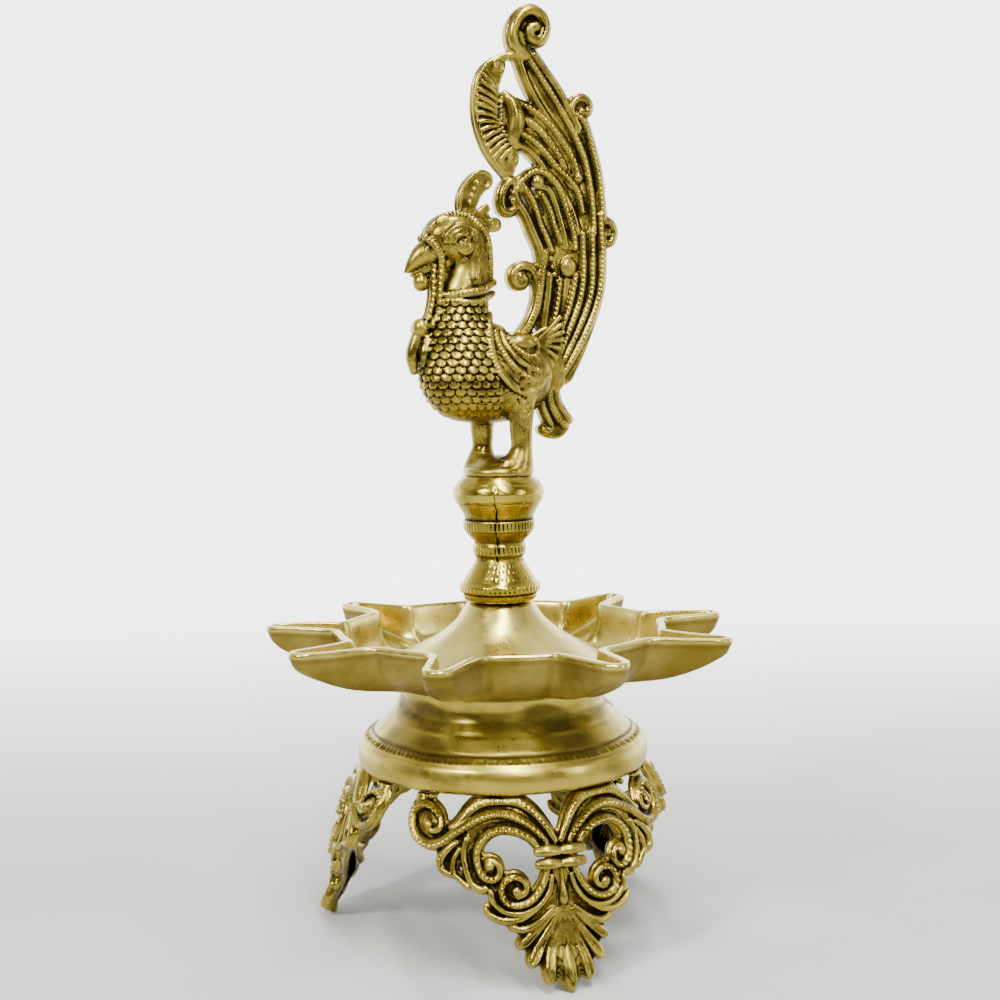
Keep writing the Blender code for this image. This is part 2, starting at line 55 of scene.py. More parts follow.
class Nodes:
    """Adds nodes to one material and wires them."""

    def __init__(self, name):
        self.material = bpy.data.materials.new(name)
        self.material.use_nodes = True
        self.tree = self.material.node_tree
        self.shader = self.tree.nodes["Principled BSDF"]

    def add(self, kind, settings=None, **inputs):
        """A node with its own settings, and its inputs set to values or linked to other nodes."""
        node = self.tree.nodes.new(kind)
        for key, value in (settings or {}).items():
            setattr(node, key, value)
        for key, value in inputs.items():
            self.put(node, key, value)
        return node

    def put(self, node, key, value):
        """Sets or links one input, named or given as i and its number."""
        socket = node.inputs[int(key[1:])] if key[0] == "i" and key[1:].isdigit() else node.inputs[key]
        if isinstance(value, bpy.types.NodeSocket):
            self.tree.links.new(value, socket)
        else:
            socket.default_value = value

    def noise(self, scale_mm, detail=3.0, rough=0.5):
        """Noise whose cells are scale_mm across, in object coordinates."""
        where = self.add("ShaderNodeTexCoord").outputs["Object"]
        return self.add("ShaderNodeTexNoise", Vector=where, Scale=1.0 / (scale_mm * MM), Detail=detail,
                        Roughness=rough).outputs["Fac"]

    def ramp(self, value, low, high, out_low=0.0, out_high=1.0):
        """A smooth step from out_low at low to out_high at high."""
        return self.add("ShaderNodeMapRange", {"interpolation_type": "SMOOTHSTEP"}, Value=value,
                        **{"From Min": low, "From Max": high, "To Min": out_low,
                           "To Max": out_high}).outputs[0]

    def mix(self, fac, a, b):
        node = self.add("ShaderNodeMix", {"data_type": "RGBA"})
        self.put(node, "i0", fac)
        self.put(node, "i6", a)
        self.put(node, "i7", b)
        return node.outputs[2]

    def maths(self, kind, a, b, clamp=False):
        return self.add("ShaderNodeMath", {"operation": kind, "use_clamp": clamp}, i0=a, i1=b).outputs[0]

    def bump(self, height, depth_mm, strength=1.0, below=None):
        node = self.add("ShaderNodeBump", Height=height, Distance=depth_mm * MM, Strength=strength)
        if below is not None:
            self.put(node, "Normal", below)
        return node.outputs["Normal"]


def brass(name, bright, body, patina, rough, dirt, grain):
    """Cast brass: bright where it is rubbed, dark lacquered dirt in its grooves (attribute groove: 0.5 flat,
    more in a groove), cloudy tarnish 9 mm across, casting pits 0.7 mm across and polishing haze. On the bird's
    breast the groove attribute also holds painted shade under the feathers' tips and a painted highlight on
    the tips, which the rubbed brightness and the dark masks below carry there."""
    n = Nodes(name)
    groove = n.add("ShaderNodeAttribute", {"attribute_name": "groove"}).outputs["Fac"]
    cloud = n.noise(9.0, 4.0, 0.55)
    stain = n.noise(4.0, 3.0, 0.6)
    speck = n.noise(0.7, 3.0, 0.6)
    fine = n.noise(0.25, 2.0, 0.5)
    worn = n.ramp(groove, 0.30, 0.48, 1.0, 0.0)
    shade = n.mix(n.ramp(cloud, 0.32, 0.68), linear(body), linear(bright))
    shade = n.mix(n.maths("MULTIPLY", worn, 0.7), shade, linear(bright))
    uneven = n.maths("ADD", groove, n.maths("MULTIPLY", n.maths("SUBTRACT", speck, 0.5), 0.25))
    grime_and_shade = n.maths("MULTIPLY", n.ramp(uneven, 0.52, 0.66), dirt, True)
    tarnish_and_shade = n.maths("MULTIPLY", n.ramp(stain, 0.45, 0.7), n.ramp(groove, 0.36, 0.52, 0.0, 0.5 * dirt), True)
    pits = n.maths("MULTIPLY", n.ramp(speck, 0.66, 0.78), dirt * 0.55, True)
    dark = n.maths("MAXIMUM", n.maths("MAXIMUM", grime_and_shade, tarnish_and_shade), pits)
    n.put(n.shader, "Base Color", n.mix(dark, shade, linear(patina)))
    n.shader.inputs["Metallic"].default_value = 1.0
    haze = n.maths("ADD", n.ramp(cloud, 0.3, 0.7, rough - 0.05, rough + 0.06), n.maths("MULTIPLY", dark, 0.3),
                   True)
    n.put(n.shader, "Roughness", haze)
    normal = n.bump(speck, 0.09, grain)
    normal = n.bump(fine, 0.02, grain, normal)
    n.put(n.shader, "Normal", normal)
    return n.material


def satin(name, bright, body, patina, rough, turned_mm, dirt, tarnish_and_shade=0.0):
    """Machine-buffed brass: an even satin with fine turning rings turned_mm apart, cloudy handling marks
    14 mm across and a trace of old polish left in its grooves (attribute groove). The last argument, from 0
    to 1, is how far the colour goes to the patina's where groove rises from 0.50 to 0.66. On the oil plate the
    groove attribute is painted light: low on the faces that look up, which are painted brighter, and high on
    the faces that look down, which this darkening turns into painted shade."""
    n = Nodes(name)
    groove = n.add("ShaderNodeAttribute", {"attribute_name": "groove"}).outputs["Fac"]
    where = n.add("ShaderNodeTexCoord").outputs["Object"]
    parts = n.add("ShaderNodeSeparateXYZ", Vector=where)
    away = n.maths("SQRT", n.maths("ADD", n.maths("MULTIPLY", parts.outputs["X"], parts.outputs["X"]),
                                   n.maths("MULTIPLY", parts.outputs["Y"], parts.outputs["Y"])), 0.0)
    ring = n.add("ShaderNodeCombineXYZ", X=away, Z=parts.outputs["Z"]).outputs[0]
    rings = n.add("ShaderNodeTexNoise", Vector=ring, Scale=1.0 / (turned_mm * MM), Detail=2.0).outputs["Fac"]
    cloud = n.noise(14.0, 4.0, 0.55)
    haze = n.noise(5.0, 3.0, 0.6)
    speck = n.noise(0.8, 3.0, 0.6)
    shade = n.mix(n.ramp(cloud, 0.30, 0.70), linear(body), linear(bright))
    # On the oil plate this brightening is painted light on the faces that look up.
    shade = n.mix(n.ramp(groove, 0.30, 0.47, 0.6, 0.0), shade, linear(bright))
    uneven = n.maths("ADD", groove, n.maths("MULTIPLY", n.maths("SUBTRACT", speck, 0.5), 0.2))
    grime_and_shade = n.maths("MULTIPLY", n.ramp(uneven, 0.56, 0.72), dirt, True)
    stain = n.maths("MULTIPLY", n.ramp(haze, 0.56, 0.80), 0.10 * dirt, True)
    dark = n.maths("MAXIMUM", grime_and_shade, stain)
    # On the oil plate this is painted shade on the faces that look down and under the rim's lip.
    if tarnish_and_shade:
        dark = n.maths("MAXIMUM", dark, n.ramp(groove, 0.50, 0.66, 0.0, tarnish_and_shade))
    n.put(n.shader, "Base Color", n.mix(dark, shade, linear(patina)))
    n.shader.inputs["Metallic"].default_value = 1.0
    sheen = n.maths("ADD", n.ramp(haze, 0.3, 0.7, rough - 0.05, rough + 0.06),
                    n.maths("MULTIPLY", dark, 0.35), True)
    n.put(n.shader, "Roughness", sheen)
    normal = n.bump(rings, 0.03, 0.5)
    normal = n.bump(cloud, 0.5, 0.2, normal)
    normal = n.bump(speck, 0.04, 0.25, normal)
    n.put(n.shader, "Normal", normal)
    return n.material


def steel(name, bright, dimmer, rough):
    """Zinc-plated steel: cool grey with 6 mm clouds of dulled plating and drawn scratches 0.4 mm apart."""
    n = Nodes(name)
    cloud = n.noise(6.0, 3.0, 0.6)
    scratch = n.noise(0.4, 2.0, 0.6)
    n.put(n.shader, "Base Color", n.mix(n.ramp(cloud, 0.35, 0.7), linear(bright), linear(dimmer)))
    n.shader.inputs["Metallic"].default_value = 1.0
    n.put(n.shader, "Roughness", n.ramp(cloud, 0.3, 0.7, rough - 0.06, rough + 0.1))
    n.put(n.shader, "Normal", n.bump(scratch, 0.03, 0.5))
    return n.material


# --------------------------------------------------------------- shape tools

def spline(points, step=0.6):
    """A Catmull-Rom curve through the points, sampled about every step mm. Rows may hold more than x, y, z."""
    points = np.array(points, float)
    padded = np.vstack([2 * points[0] - points[1], points, 2 * points[-1] - points[-2]])
    out = []
    for a, b, c, d in zip(padded, padded[1:], padded[2:], padded[3:]):
        count = max(2, int(np.linalg.norm((c - b)[:3]) / step) + 1)
        t = np.linspace(0, 1, count, endpoint=False)[:, None]
        out.append(0.5 * (2 * b + (c - a) * t + (2 * a - 5 * b + 4 * c - d) * t ** 2
                          + (3 * b - a - 3 * c + d) * t ** 3))
    return np.vstack(out + [points[-1:]])


def volute(centre, start, end, from_degrees, turns, count=26):
    """A spiral in the plane about a centre: its radius shrinks from start to end over the turns."""
    t = np.linspace(0, 1, count)
    angle = np.radians(from_degrees + 360.0 * turns * t)
    radius = start + (end - start) * t ** 0.8
    return np.stack([centre[0] + radius * np.cos(angle), centre[1] + radius * np.sin(angle)], 1)


def places_along(rows, start, short, spacing):
    """Places every spacing mm along a curve, from start mm to short of its end, each with the curve's
    direction in the plane: the third value of a row is carried along."""
    path = spline(rows, 0.3)
    length = np.concatenate([[0], np.cumsum(np.linalg.norm(np.diff(path[:, :2], axis=0), axis=1))])
    for at in np.arange(start, length[-1] - short, spacing):
        here = [np.interp(at, length, path[:, k]) for k in range(3)]
        way = [np.interp(at + 0.3, length, path[:, k]) - np.interp(at - 0.3, length, path[:, k])
               for k in (0, 1)]
        norm = math.hypot(*way) + 1e-6
        yield here, (way[0] / norm, way[1] / norm)


def smooth_min(a, b, k):
    """The lesser of two distances, rounded where they differ by less than k: a fillet between two shapes."""
    h = np.clip(0.5 + 0.5 * (b - a) / k, 0.0, 1.0)
    return b * (1 - h) + a * h - k * h * (1 - h)


class Clay:
    """Voxels of signed distance in mm over a box (negative inside). Shapes are added with a fillet, and
    skin() returns the surface net on the zero level with its groove value: the blurred share of metal round
    each point."""

    def __init__(self, low, high, cell):
        self.low = np.array(low, float)
        self.cell = cell
        self.size = np.ceil((np.array(high, float) - self.low) / cell).astype(int) + 1
        self.field = np.full(self.size, 5.0, np.float32)

    def window(self, low, high):
        """The first and last voxel of a box in mm, and its coordinates as three open grids."""
        first = np.clip(np.floor((low - self.low) / self.cell).astype(int), 0, self.size - 1)
        last = np.clip(np.ceil((high - self.low) / self.cell).astype(int) + 1, 1, self.size)
        last = np.maximum(last, first + 1)
        axes = [(self.low[k] + self.cell * np.arange(first[k], last[k])).astype(np.float32) for k in range(3)]
        return first, last, np.meshgrid(*axes, indexing="ij", sparse=True)

    def everywhere(self):
        return self.window(self.low, self.low + self.cell * self.size)[2]

    def merge(self, first, last, other, blend, cut):
        """Adds a shape to a window of the clay, or cuts it out, with a fillet of blend mm."""
        part = tuple(slice(i, j) for i, j in zip(first, last))
        if cut:
            self.field[part] = -smooth_min(-self.field[part], other, blend)
        else:
            self.field[part] = smooth_min(self.field[part], other, blend)

    def stroke(self, rows, flat=1.0, blend=0.35, cut=False, step=0.6, half=None):
        """A tube along a curve: rows of (x, y, z, radius). flat squeezes it along the third axis, and half
        makes it a plate that thick each way instead."""
        rows = spline(rows, step) if len(rows) > 2 else np.array(rows, float)
        if half:
            flat = 0.0
        reach = max(rows[:, 3].max(), half or 0.0) + blend + 2 * self.cell
        first, last, (_, _, depth) = self.window(rows[:, :3].min(0) - reach, rows[:, :3].max(0) + reach)
        local = np.full(last - first, 5.0, np.float32)
        for p, q in zip(rows, rows[1:]):
            near = max(p[3], q[3], half or 0.0) + blend + 2 * self.cell
            a, b, (x, y, z) = self.window(np.minimum(p, q)[:3] - near, np.maximum(p, q)[:3] + near)
            a = np.maximum(a, first)
            b = np.minimum(b, last)
            dx, dy, dz = q[0] - p[0], q[1] - p[1], (q[2] - p[2]) * flat
            px, py, pz = x - p[0], y - p[1], (z - p[2]) * flat
            t = np.clip((px * dx + py * dy + pz * dz) / (dx * dx + dy * dy + dz * dz + 1e-9), 0, 1)
            away = np.sqrt((px - t * dx) ** 2 + (py - t * dy) ** 2
                           + (pz - t * dz) ** 2) - p[3] - (q[3] - p[3]) * t
            part = tuple(slice(i, j) for i, j in zip(a - first, b - first))
            local[part] = np.minimum(local[part], away)
        if half:
            wide = local + 0.6
            deep = np.abs(depth) - half + 0.6
            local = (np.hypot(np.maximum(wide, 0), np.maximum(deep, 0))
                     + np.minimum(np.maximum(wide, deep), 0)
                     - 0.6).astype(np.float32)
        self.merge(first, last, local, blend, cut)

    def top(self, x, y):
        """How far out along the third axis the metal reaches at x, y, or 0 where there is none."""
        i, j = (int(np.clip(round((v - self.low[k]) / self.cell), 0, self.size[k] - 1)) for k,
                v in ((0, x), (1, y)))
        column = self.field[i, j]
        inside = np.flatnonzero(column < 0)
        if not len(inside) or inside[-1] + 1 >= len(column):
            return 0.0
        k = inside[-1]
        return self.low[2] + self.cell * (k + column[k] / (column[k] - column[k + 1]))

    def drape(self, rows, lift=0.0):
        """Rows of (x, y, radius...) laid on the metal's outer side, as (x, y, z, radius...)."""
        heights = [max(self.top(row[0], row[1]), 0.0) for row in rows]
        return [(row[0], row[1], height + lift, *row[2:]) for row, height in zip(rows, heights)]

    def ball(self, centre, radii, blend=0.35, cut=False):
        """An ellipsoid."""
        centre = np.array(centre, float)
        radii = np.array(np.broadcast_to(radii, 3), float)
        reach = radii + blend + 2 * self.cell
        first, last, (x, y, z) = self.window(centre - reach, centre + reach)
        scaled = np.sqrt(((x - centre[0]) / radii[0]) ** 2 + ((y - centre[1]) / radii[1]) ** 2
                         + ((z - centre[2]) / radii[2]) ** 2)
        self.merge(first, last, ((scaled - 1) * radii.min()).astype(np.float32), blend, cut)

    def beads(self, rows, spacing, radius, blend=0.12, cut=False):
        """Balls along a curve of (x, y, z)."""
        path = spline(rows, 0.3)[:, :3]
        length = np.concatenate([[0], np.cumsum(np.linalg.norm(np.diff(path, axis=0), axis=1))])
        count = max(2, int(length[-1] / spacing))
        for at in np.linspace(0, length[-1], count):
            self.ball([np.interp(at, length, path[:, k]) for k in range(3)], radius, blend, cut)

    def skin(self, blur_mm=0.9):
        """The surface net: one point in every cell that the zero level crosses, at the mean of its edge
        crossings, and a quad across every grid edge whose two ends differ. The groove value is the share of
        metal within about blur_mm of the point."""
        field = self.field
        inside = field < 0
        count = np.zeros(np.array(field.shape) - 1, np.int8)
        steps = [(a, b, c) for a in (0, 1) for b in (0, 1) for c in (0, 1)]
        end = field.shape
        for a, b, c in steps:
            count += inside[a:end[0] - 1 + a, b:end[1] - 1 + b, c:end[2] - 1 + c]
        mixed = (count > 0) & (count < 8)
        cells = np.argwhere(mixed)
        ids = np.full(mixed.shape, -1, np.int64)
        ids[mixed] = np.arange(len(cells))
        value = {s: field[tuple((cells + s).T)] for s in steps}
        total = np.zeros((len(cells), 3))
        hits = np.zeros(len(cells))
        for s in steps:
            for axis in range(3):
                if s[axis]:
                    continue
                other = tuple(s[k] + (k == axis) for k in range(3))
                v0, v1 = value[s], value[other]
                cross = (v0 < 0) != (v1 < 0)
                t = np.where(cross, v0 / np.where(v0 == v1, 1, v0 - v1), 0)
                place = np.array(s, float)[None, :] + t[:, None] * np.eye(3)[axis]
                total += np.where(cross[:, None], place, 0)
                hits += cross
        points = self.low + self.cell * (cells + total / hits[:, None])
        quads = []
        for axis in range(3):
            a = np.moveaxis(inside, [axis, (axis + 1) % 3, (axis + 2) % 3], [0, 1, 2])
            grid = np.moveaxis(ids, [axis, (axis + 1) % 3, (axis + 2) % 3], [0, 1, 2])
            low, high = a[:-1, 1:-1, 1:-1], a[1:, 1:-1, 1:-1]
            square = np.stack([grid[:, :-1, :-1], grid[:, 1:, :-1], grid[:, 1:, 1:], grid[:, :-1, 1:]], -1)
            quads.append(square[low & ~high])
            quads.append(square[high & ~low][:, ::-1])
        share = np.clip(0.5 - field / self.cell, 0, 1)
        reach = max(1, int(round(blur_mm / self.cell)))
        for axis in range(3):
            for _ in range(2):
                share = box_blur(share, axis, reach)
        near = share[tuple((cells + 1).T)]
        near = 0.5 * (near + share[tuple(cells.T)])
        return points, np.vstack(quads), near


def box_blur(values, axis, reach):
    """The mean over 2 * reach + 1 cells along an axis, with the ends repeated."""
    pad = [(0, 0)] * 3
    pad[axis] = (reach + 1, reach)
    sums = np.cumsum(np.pad(values, pad, mode="edge"), axis=axis, dtype=np.float64)
    count = values.shape[axis]
    width = 2 * reach + 1
    high = np.take(sums, range(width, width + count), axis=axis)
    return ((high - np.take(sums, range(count), axis=axis)) / width).astype(np.float32)


def make_piece(name, points, faces, groove, finish, body, *nodes):
    """A smooth-shaded mesh object from points in mm, riding on a body and standing for CAD nodes."""
    mesh = bpy.data.meshes.new(name)
    mesh.from_pydata((np.array(points) * MM).tolist(), [], faces.tolist() if hasattr(faces, "tolist")
                     else faces)
    mesh.attributes.new("groove", "FLOAT", "POINT").data.foreach_set("value", np.array(groove, np.float32))
    mesh.shade_smooth()
    mesh.materials.append(finish)
    obj = bpy.data.objects.new(name, mesh)
    bpy.context.scene.collection.objects.link(obj)
    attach(obj, body)
    if nodes:
        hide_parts(*nodes)
    return obj


def polar(radius, degrees, z):
    """Points at an angle measured from -Y towards +X."""
    angle = np.radians(degrees)
    return np.stack(np.broadcast_arrays(radius * np.sin(angle), -radius * np.cos(angle), z), -1)


# ---------------------------------------------------------------------- legs

LEG_AZIMUTHS = {"front": 18.0, "left": -102.0, "back": 138.0}  # degrees from -Y towards +X
LEG_TOP = 58.7
LUG_ARC = 20.0  # from the panel's middle to a lug, along the panel's top
LUG_CENTRE = (43.2, 56.3)  # radius and height
SCREW_HOLE_R = 1.8
LEG_SURFACE = [(-1, 66.3), (0, 66.5), (3, 67.0), (8, 65.2), (14, 62.0), (20, 61.4), (30, 60.8), (40, 58.4),
               (50, 55.2), (59, 50.2)]  # (height, radius) of the outer face

# Ribs of one half of the panel: (arc from the middle, height, rib radius). The mirror gives the other half.
LEG_RIBS = {
    "top_band": [(1.0, 46.0, 1.1), (3.5, 50.5, 1.4), (7.0, 54.8, 1.7), (11.5, 57.6, 1.8), (17.0, 58.2, 1.8),
                 (23.0, 57.6, 1.8), (27.6, 55.2, 1.6), (32.0, 51.6, 1.2), (35.0, 50.0, 0.8)],
    "outer_arch": [(3.4, 44.5, 0.9), (5.2, 47.4, 1.2), (9.2, 51.2, 1.5), (14.5, 53.8, 1.6), (20.5, 54.2, 1.6),
                   (27.0, 52.2, 1.6), (33.0, 49.0, 1.6), (38.0, 45.8, 1.6), (43.4, 44.4, 1.6),
                   (47.9, 46.4, 1.5), (49.0, 50.8, 1.5), (46.6, 54.8, 1.4), (42.0, 55.8, 1.3),
                   (38.3, 53.6, 1.2), (38.4, 50.0, 1.1), (41.2, 48.6, 1.1), (43.6, 50.2, 1.2),
                   (42.6, 52.0, 1.5)],
    "inner_arch": [(6.5, 44.0, 1.0), (9.6, 47.4, 1.3), (14.6, 49.6, 1.4), (20.0, 49.6, 1.4),
                   (24.4, 47.2, 1.4), (26.9, 43.2, 1.4), (26.8, 38.6, 1.4), (24.8, 35.6, 1.3),
                   (21.8, 35.2, 1.2), (20.0, 37.4, 1.1), (20.8, 40.2, 1.1), (23.4, 40.6, 1.3),
                   (23.8, 38.6, 1.4)],
    "arch_edge": [(30.0, 47.0, 1.0), (31.2, 43.0, 1.1), (31.0, 38.6, 1.1), (29.6, 34.4, 1.1),
                  (27.0, 32.2, 1.3), (25.0, 32.6, 1.2)],
    "leaf_upper": [(33.0, 46.0, 0.8), (36.6, 43.6, 1.3), (39.4, 40.4, 1.5), (39.0, 37.2, 1.4),
                   (36.0, 36.2, 1.0)],
    "leaf_inner": [(32.6, 44.0, 0.7), (34.8, 40.6, 1.0), (35.2, 37.0, 1.0), (33.0, 34.6, 1.1),
                   (31.0, 33.0, 1.0)],
    "lower_scroll": [(4.4, 38.0, 1.0), (6.6, 33.0, 1.3), (10.4, 28.8, 1.4), (15.0, 27.2, 1.4),
                     (18.8, 28.4, 1.4), (20.0, 31.8, 1.3), (18.4, 34.8, 1.3), (15.0, 35.8, 1.2),
                     (12.2, 34.0, 1.1), (12.3, 31.4, 1.1), (14.8, 30.2, 1.2), (15.8, 31.8, 1.5)],
    "lower_edge": [(3.2, 35.6, 0.8), (4.6, 31.0, 1.0), (8.4, 26.6, 1.0), (13.6, 24.6, 1.1), (18.8, 25.2, 1.1),
                   (22.6, 28.2, 1.1), (23.4, 31.4, 1.0)],
    "leaf_low": [(9.0, 25.6, 0.8), (14.0, 23.0, 1.1), (19.6, 22.6, 1.4), (24.0, 24.4, 1.2),
                 (25.4, 26.4, 0.7)],
    "leaf_lower": [(4.0, 25.4, 0.7), (8.6, 21.6, 1.1), (13.2, 19.6, 1.4), (17.0, 20.4, 1.2)],
    "palm_1": [(0.9, 24.5, 0.6), (2.6, 19.0, 1.3), (4.9, 13.2, 2.0), (6.1, 8.8, 2.3), (6.6, 6.0, 2.0),
               (6.8, 4.6, 1.3)],
    "palm_2": [(1.8, 24.4, 0.6), (5.0, 19.4, 1.3), (8.2, 14.8, 2.0), (10.4, 11.6, 2.2), (11.8, 9.9, 1.5)],
    "palm_3": [(2.8, 24.8, 0.6), (6.8, 21.2, 1.2), (10.4, 18.0, 1.7), (13.0, 15.8, 1.9), (14.7, 14.8, 1.3)],
}
LEG_MIDDLE = {
    "palm_0": [(0.0, 24.6, 0.6), (0.0, 18.0, 1.4), (0.0, 11.0, 2.4), (0.0, 6.0, 2.7), (0.0, 2.8, 1.9),
               (0.0, 0.9, 1.1)],
    "pendant": [(0.0, 37.4, 0.5), (0.0, 34.0, 0.7), (0.0, 30.4, 1.5), (0.0, 28.2, 1.8), (0.0, 27.0, 1.0)],
}


def leg_radius(z):
    """The radius of the legs' flared outer surface at a height."""
    return np.interp(z, *zip(*LEG_SURFACE))


def leg_clay(cell):
    """One leg panel laid flat: x is the arc from its middle, y the height and z the depth, 0 at the outer
    face. Every rib is a rounded bar on a wider flat backing, so that gaps between ribs are grooves and far
    gaps are openings."""
    clay = Clay((-52.5, -1.5, -5.4), (52.5, 60.5, 2.0), cell)
    both = [(rows, side) for rows in LEG_RIBS.values() for side in (-1, 1)]
    both += [(rows, 1) for rows in LEG_MIDDLE.values()]
    for rows, side in both:
        backing = [(side * u, z, -2.9, r + 0.75) for u, z, r in rows]
        clay.stroke(backing, 1.35, 0.8)
    for side in (-1, 1):
        clay.stroke([(side * 4.0, 44.0, -2.8, 3.0), (side * 12.0, 53.4, -2.8, 3.4),
                     (side * 24.0, 53.4, -2.8, 3.6), (side * 29.0, 47.0, -2.8, 3.0),
                     (side * 34.0, 41.0, -2.8, 2.6)], 1.8, 0.8)
        clay.stroke([(side * 46.0, 55.0, -2.4, 2.0), (side * 43.0, 59.5, -2.4, 2.6),
                     (side * 41.0, 60.0, -2.4, 3.0)],
                    1.2, 0.6)
        clay.stroke([(side * 42.0, 50.4, -2.8, 5.0), (side * 42.6, 51.0, -2.8, 5.0)], 2.6, 0.6)
        clay.stroke([(side * 15.6, 31.0, -2.8, 3.6), (side * 15.8, 31.4, -2.8, 3.6)], 2.0, 0.6)
        clay.stroke([(side * 23.6, 39.0, -2.8, 3.4), (side * 23.8, 39.4, -2.8, 3.4)], 2.0, 0.6)
    clay.stroke([(0, 40.0, -2.6, 4.4), (0, 28.0, -2.8, 4.0), (0, 16.4, -2.9, 9.4), (0, 9.0, -2.9, 6.6),
                 (0, 4.6, -2.9, 3.6)],
                3.2, 0.8)
    for rows, side in both:
        clay.stroke([(side * u, z, -0.95 - 0.25 * r, r * 0.92) for u, z, r in rows], 0.92, 0.22)
    for z in (43.2, 39.4):
        for side in (-1, 1):
            clay.stroke([(side * 0.9, z, 0.0, 1.35), (side * 4.0, z + 0.3, 0.4, 1.75),
                         (side * 7.4, z, -0.3, 1.5)],
                        1.0, 0.15)
    for side in (-1, 1):
        for centre in ((42.4, 51.0), (23.0, 39.6), (15.2, 31.8)):
            clay.ball((side * centre[0], centre[1], -0.3), (1.5, 1.5, 1.2), 0.2)
        for name in ("palm_1", "palm_2", "palm_3"):
            rows = LEG_RIBS[name][1:]
            clay.stroke([(side * u, z, 0.55, 0.42 + 0.2 * r) for u, z, r in rows], 1.0, 0.2, cut=True)
        for name, lift in (("outer_arch", 0.35), ("inner_arch", 0.35), ("lower_scroll", 0.35)):
            rows = LEG_RIBS[name]
            clay.beads([(side * u, z, lift) for u, z, _ in rows[1:-4]], 1.7, 0.62, 0.15)
        hatch(clay, side, LEG_RIBS["top_band"], 1.5)
        hatch(clay, side, LEG_RIBS["leaf_low"], 1.3)
        hatch(clay, side, LEG_RIBS["leaf_lower"], 1.3)
        hatch(clay, side, LEG_RIBS["leaf_upper"], 1.4)
    for side in (-1, 1):
        clay.stroke([(0.0, 20.0, 0.5, 0.4), (side * 1.1, 12.0, 0.7, 0.5), (side * 1.2, 6.4, 0.7, 0.5),
                     (0.0, 3.2, 0.4, 0.4)], 1.0, 0.15, cut=True)
    _, y, _ = clay.everywhere()
    clay.field = np.maximum(clay.field, np.maximum(y - LEG_TOP, -y)).astype(np.float32)
    return clay


def hatch(clay, side, rows, spacing):
    """Fine milled nicks across the top of a rib."""
    for (u, z, r), along in places_along([(side * u, z, r) for u, z, r in rows], 1.0, 0.6, spacing):
        across = (-along[1] * r * 0.9, along[0] * r * 0.9)
        clay.stroke([(u - across[0], z - across[1], 0.1 + 0.1 * r, 0.26),
                     (u + across[0], z + across[1], 0.1 + 0.1 * r, 0.26)], 1.0, 0.1, cut=True)


def build_legs(finish, cell):
    """Wraps the flat panel round the foot's flared surface: radius leg_radius(z) plus depth, arc to angle."""
    flat, quads, groove = leg_clay(cell).skin()
    lug_turn = math.degrees(LUG_ARC / leg_radius(LEG_TOP))
    for name, azimuth in LEG_AZIMUTHS.items():
        radius = leg_radius(flat[:, 1])
        turn = azimuth + np.degrees(flat[:, 0] / radius)
        points = polar(radius + flat[:, 2], turn, flat[:, 1])
        make_piece("leg_panel_" + name, points, quads, groove, finish, "base", "leg_" + name)
        for side in (-1, 1):
            build_lug(f"leg_lug_{name}_{'a' if side < 0 else 'b'}", azimuth + side * lug_turn, finish)


def build_lug(name, turn, finish):
    """The tab on a leg's inner side: a rounded block with the screw's hole through it."""
    clay = Clay((-5.5, -7.5, -4.0), (5.5, 7.5, 4.0), 0.35)
    x, y, z = clay.everywhere()
    far = np.maximum(np.maximum(np.abs(x) - 3.7, np.abs(y) - 4.6), np.abs(z) - 2.0)
    clay.field = (-smooth_min(-far, np.sqrt(x ** 2 + (y + 0.2) ** 2) - SCREW_HOLE_R + 0 * z,
                              0.2)).astype(np.float32)
    flat, quads, groove = clay.skin()
    middle = polar(LUG_CENTRE[0], turn, LUG_CENTRE[1])
    angle = math.radians(turn)
    x, y, z = flat.T
    points = np.stack([middle[0] + x * math.cos(angle) - y * math.sin(angle),
                       middle[1] + x * math.sin(angle) + y * math.cos(angle), middle[2] + z], 1)
    make_piece(name, points, quads, groove, finish, "base")


# ---------------------------------------------------------------------- bird

BIRD_TURN = 18.0  # degrees between the bird's sheet and the X axis
BIRD_FOOT = 158.6
BIRD_BORE_TOP = 162.3


def bird_point(flat):
    """Bird sheet (along towards the tail, height, out towards the viewer's side) to the lamp's axes."""
    turn = math.radians(BIRD_TURN)
    along, high, out = flat.T
    return np.stack([along * math.cos(turn) + out * math.sin(turn),
                     along * math.sin(turn) - out * math.cos(turn), high], 1)


def mill(clay, rows, spacing, half, radius=0.26, lean=0.0):
    """Nicks across a curve of (x, y, depth), each 2 * half long and leaning along the curve by lean."""
    for here, along in places_along([row[:3] for row in rows], 0.6, 0.4, spacing):
        arm = (-along[1] * half + along[0] * lean, along[0] * half + along[1] * lean)
        clay.stroke([(here[0] - arm[0], here[1] - arm[1], here[2], radius),
                     (here[0] + arm[0], here[1] + arm[1], here[2], radius)], 1.0, 0.08, cut=True)


